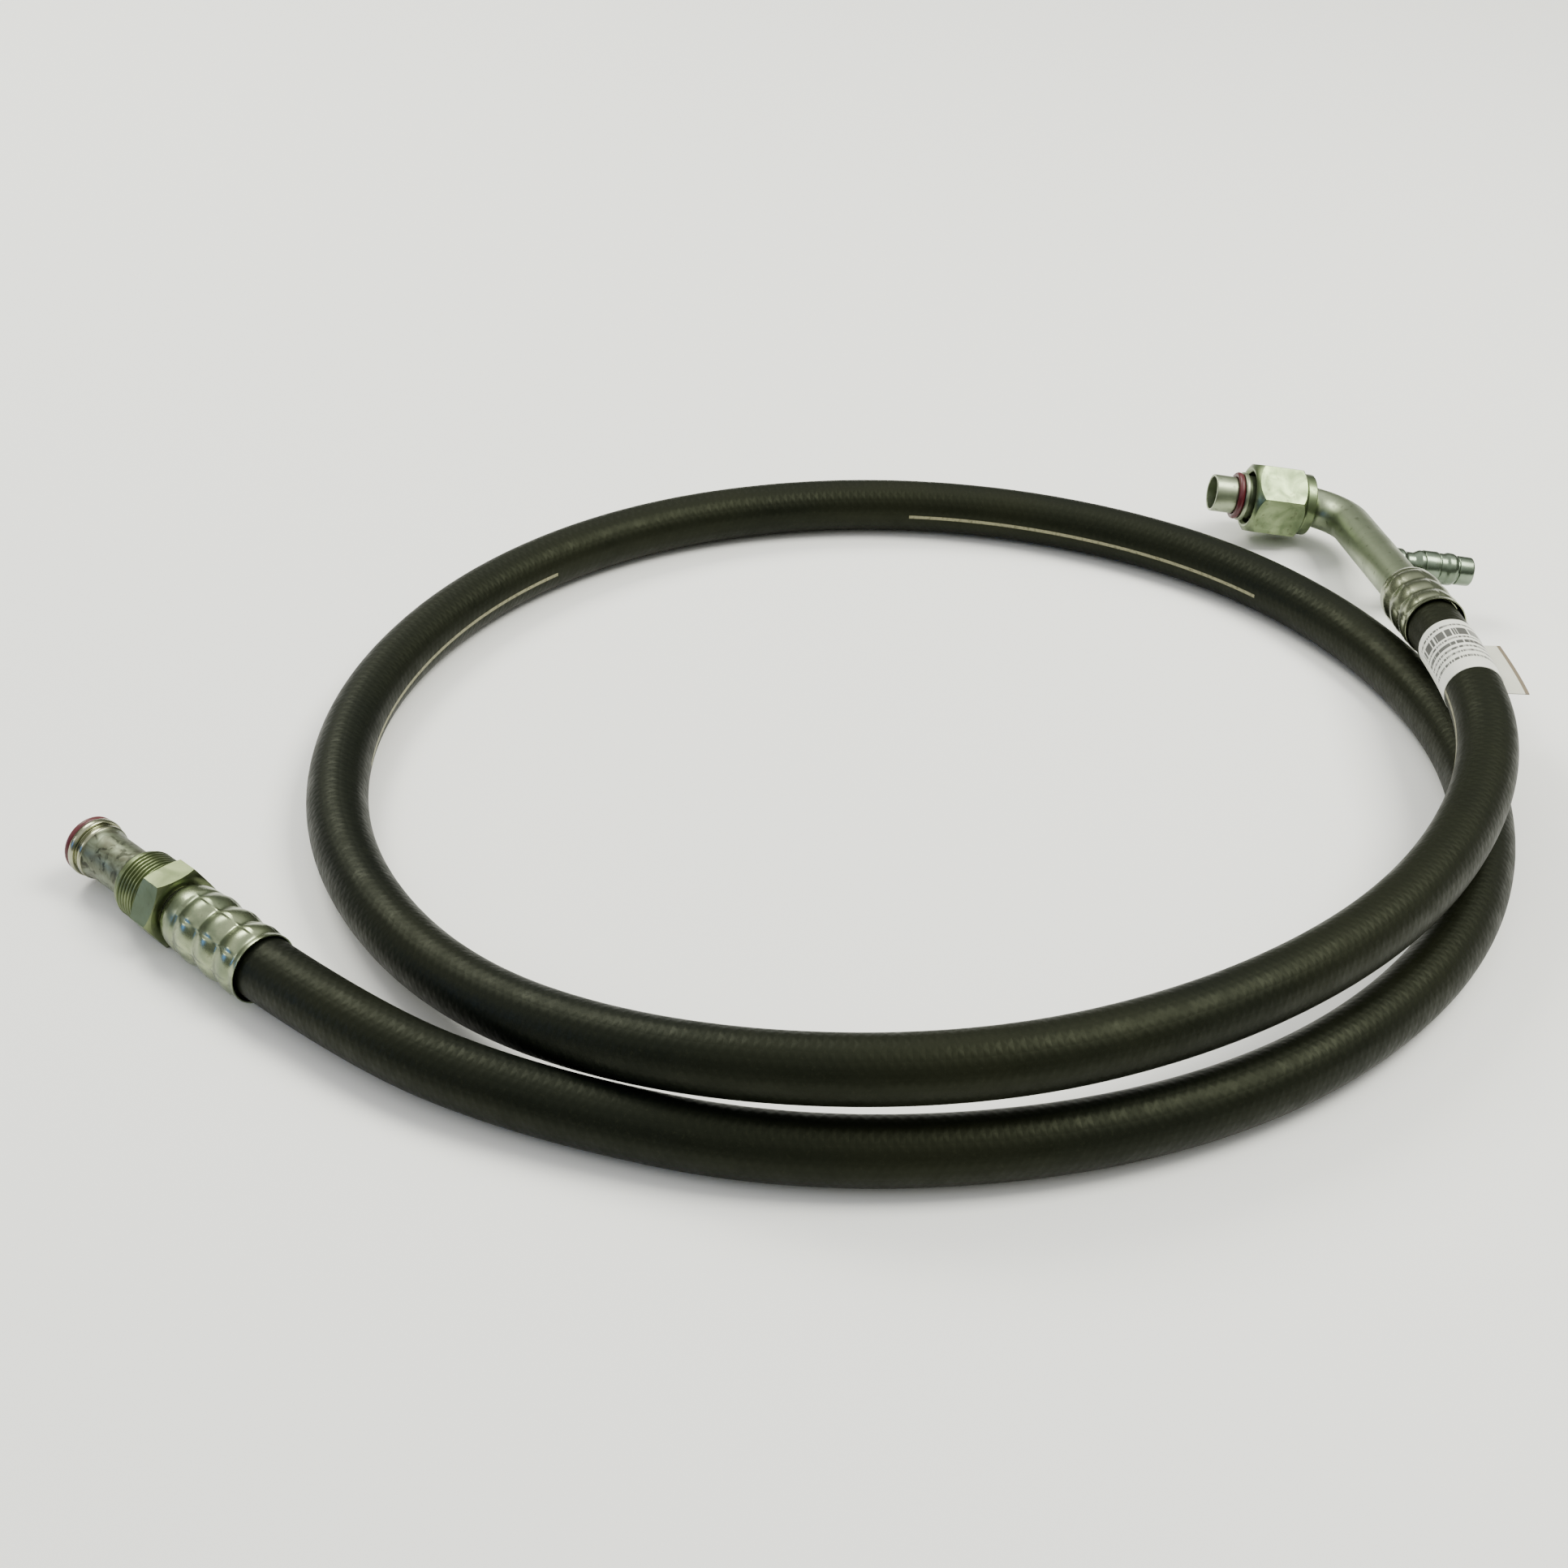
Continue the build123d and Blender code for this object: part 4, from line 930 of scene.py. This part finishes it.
def worn_plate():
    """Grey-green plating gone dull, with dark smears and rubbed dark blotches."""
    material, tree, shader, add = new_material("worn_plate")
    where = add("ShaderNodeTexCoord").outputs["Object"]
    smears = noise(add, where, 170.0, 6.0, 1.2)
    blotches = noise(add, where, 330.0, 5.0, 0.8)
    tone = remap(add, smears, 0.38, 0.62)
    base = blend_colours(add, tone, (0.15, 0.175, 0.12, 1), (0.085, 0.09, 0.06, 1))
    rubbed = remap(add, blotches, 0.54, 0.64, 0.0, 0.8)
    base = blend_colours(add, rubbed, base, (0.016, 0.018, 0.011, 1))
    tree.links.new(base, shader.inputs["Base Color"])
    shader.inputs["Metallic"].default_value = 0.85
    rough = remap(add, smears, 0.3, 0.7, 0.38, 0.55)
    tree.links.new(rough, shader.inputs["Roughness"])
    bump = add("ShaderNodeBump", {"Height": blotches, "Strength": 0.25, "Distance": 0.08 * MM})
    tree.links.new(bump.outputs[0], shader.inputs["Normal"])
    return material


straight_profile = rounded([
    (39.0, TUBE_RADIUS, 0),
    (77.5, TUBE_RADIUS, 1.5),
    (80.4, 8.4, 0.8),
    (80.8, 9.0, 0.4),
    (82.2, 9.0, 0.4),
    (82.6, 8.4, 0.2),
    (83.8, 8.4, 0.2),
    (83.8, BEAD_RADIUS, 1.1),
    (86.4, BEAD_RADIUS, 1.0),
    (86.4, O_RING_SEAT_RADIUS, 0),
    (88.9, O_RING_SEAT_RADIUS, 0),
    (88.9, PILOT_RADIUS, 0.2),
    (90.0, PILOT_RADIUS, 0.5),
    (90.0, TUBE_BORE_RADIUS, 0.2),
    (41.0, TUBE_BORE_RADIUS, 0),
])
straight_pipe = lofted(
    "straight_formed_tube",
    turned_rings(straight_mouth, straight_direction, straight_up, straight_profile, TUBE_SIDES),
    closed=True,
)
straight_pipe.data.materials.append(worn_plate())
straight_pipe.data.materials.append(
    zinc_plate("bead_plate", (0.30, 0.31, 0.21, 1), (0.17, 0.175, 0.12, 1), 0.3, 0.2, 90.0)
)
BEAD_RINGS_START = 80.6 * MM
for face in straight_pipe.data.polygons:
    if (face.center - straight_mouth).dot(straight_direction) > BEAD_RINGS_START:
        face.material_index = 1
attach(straight_pipe, "hose_and_tubes")
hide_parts("straight_tube")

# ---------------------------------------------------------------------------
# Stems
# Barbed steel inserts inside the hose ends, brazed to the tubes. They are all
# but hidden by the ferrules and are plated like them.
# ---------------------------------------------------------------------------

stem_plate = zinc_plate("stem_plate", (0.56, 0.56, 0.44, 1), (0.38, 0.38, 0.29, 1), 0.3, 0.22, 90.0)
dress(stem_plate, "elbow_stem", "straight_stem")

# ---------------------------------------------------------------------------
# Straight O-ring
# The same dark red ring as on the elbow, sitting in front of the bead.
# ---------------------------------------------------------------------------

straight_ring_centre = straight_mouth + straight_direction * 87.65 * MM
straight_ring = o_ring("straight_seal_ring", straight_ring_centre, straight_direction, straight_up)
straight_ring.data.materials.append(red_rubber)
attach(straight_ring, "hose_and_tubes")
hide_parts("straight_o_ring")

# ---------------------------------------------------------------------------
# Straight nut
# A male insert nut, turned from plated hexagon bar. Its thread is a true spiral
# that runs out into a plain lead, and it turns freely on the tube.
# ---------------------------------------------------------------------------

THREAD_PITCH = 1.411
THREAD_START = 48.8
THREAD_END = 59.3
THREAD_RUN_OUT = 0.9
THREAD_ROOT_RADIUS = 10.25
THREAD_HEIGHT = 0.85
THREAD_STEPS = 104
STRAIGHT_ACROSS_FLATS = 23.0
STRAIGHT_BACK_SLOPE = [(39.6, 11.2), (40.1, 12.3), (40.9, 13.3)]
STRAIGHT_FRONT_SLOPE = [(48.6, 11.2), (48.3, 12.2), (47.8, 13.3)]
straight_beside = straight_direction.cross(straight_up)


def straight_nut_part(profile):
    """Rings of the nut's round parts."""
    return turned_rings(straight_mouth, straight_direction, straight_beside, profile, nut_columns)


def spiral_ring(station, sides):
    """One ring of the thread: the ridge's height follows the spiral round the ring."""
    running_in = eased(station, THREAD_START, THREAD_START + THREAD_RUN_OUT)
    running_out = 1 - eased(station, THREAD_END - THREAD_RUN_OUT, THREAD_END)
    radii = []
    for side in range(sides):
        phase = (station / THREAD_PITCH - side / sides) % 1.0
        ridge = 1 - abs(phase * 2 - 1)
        flank = min(max((ridge - 0.15) / 0.6, 0.0), 1.0)
        radii.append((THREAD_ROOT_RADIUS + THREAD_HEIGHT * flank * running_in * running_out) * MM)
    centre = straight_mouth + straight_direction * station * MM
    return ring_points(centre, straight_direction, straight_beside, radii)


nut_front = rounded([
    (THREAD_END + 0.1, THREAD_ROOT_RADIUS, 0),
    (60.5, 10.2, 0.3),
    (61.1, 9.6, 0.2),
    (61.1, 8.2, 0.2),
    (39.6, 8.2, 0.2),
    (39.6, 9.0, 0),
])
straight_nut_rings = hexagon_rings(
    straight_mouth,
    straight_direction,
    straight_beside,
    STRAIGHT_ACROSS_FLATS,
    STRAIGHT_BACK_SLOPE,
    STRAIGHT_FRONT_SLOPE,
)
straight_nut_rings += straight_nut_part([(48.6, 10.3)])
for step in range(THREAD_STEPS + 1):
    station = THREAD_START + (THREAD_END - THREAD_START) * step / THREAD_STEPS
    straight_nut_rings.append(spiral_ring(station, nut_columns))
straight_nut_rings += straight_nut_part(nut_front)
insert_nut = lofted("straight_insert_nut", straight_nut_rings, closed=True, sharp_angle=28.0)
insert_nut.data.materials.append(
    zinc_plate("straight_nut_plate", (0.165, 0.195, 0.10, 1), (0.105, 0.13, 0.065, 1), 0.35, 0.31, 110.0)
)
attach(insert_nut, "straight_nut")
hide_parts("straight_nut")

# ---------------------------------------------------------------------------
# Floor and light
# A plain pale floor in a room that is bright overhead and darker towards its
# walls, with soft lamps at the right and behind, and a window on the left.
# ---------------------------------------------------------------------------

FLOOR_HALF = 6.0
FLOOR_BELOW_PART = 0.4 * MM
floor_corners = [
    (-FLOOR_HALF, -FLOOR_HALF, 0),
    (FLOOR_HALF, -FLOOR_HALF, 0),
    (FLOOR_HALF, FLOOR_HALF, 0),
    (-FLOOR_HALF, FLOOR_HALF, 0),
]
floor = new_piece("floor", floor_corners, [(0, 1, 2, 3)], smooth=False)
floor_material, _, floor_shader, _ = new_material("floor")
floor_shader.inputs["Base Color"].default_value = (0.94, 0.94, 0.93, 1)
floor_shader.inputs["Roughness"].default_value = 0.9
floor_shader.inputs["Specular IOR Level"].default_value = 0.2
floor.data.materials.append(floor_material)
floor.location.z = -FLOOR_BELOW_PART

world = bpy.data.worlds.new("soft_room")
world.use_nodes = True
room = world.node_tree
background = room.nodes["Background"]
view_direction = room.nodes.new("ShaderNodeTexCoord").outputs["Generated"]
height_split = room.nodes.new("ShaderNodeSeparateXYZ")
room.links.new(view_direction, height_split.inputs[0])
ramp = room.nodes.new("ShaderNodeValToRGB")
room.links.new(height_split.outputs[2], ramp.inputs[0])
ramp.color_ramp.elements[0].position = 0.02
ramp.color_ramp.elements[0].color = (0.07, 0.075, 0.06, 1)
ramp.color_ramp.elements[1].position = 0.75
ramp.color_ramp.elements[1].color = (1.0, 1.0, 0.97, 1)
middle_height = ramp.color_ramp.elements.new(0.38)
middle_height.color = (0.22, 0.23, 0.19, 1)
room.links.new(ramp.outputs[0], background.inputs[0])
background.inputs[1].default_value = 1.3
bpy.context.scene.world = world


def soft_light(name, place, aim, size, power, colour=(1.0, 1.0, 0.96)):
    """A square lamp that points at a place."""
    data = bpy.data.lights.new(name, "AREA")
    data.size = size
    data.energy = power
    data.color = colour
    lamp = bpy.data.objects.new(name, data)
    bpy.context.collection.objects.link(lamp)
    lamp.location = place
    lamp.rotation_euler = (Vector(aim) - Vector(place)).to_track_quat("-Z", "Y").to_euler()


soft_light("right_lamp", (0.94, 0.05, 1.53), (0.1, 0, 0), 0.8, 34, (1.0, 1.0, 0.88))
soft_light("back_lamp", (-0.88, 0.97, 1.37), (-0.1, 0, 0), 0.7, 26, (1.0, 1.0, 0.88))
soft_light("side_window", (-1.6, -0.2, 0.72), (-0.2, -0.15, 0), 0.24, 1.8)
soft_light("sky_patch", (-1.70, -0.42, 0.40), (-0.2, -0.15, 0), 0.42, 2.0, (0.05, 0.25, 0.9))
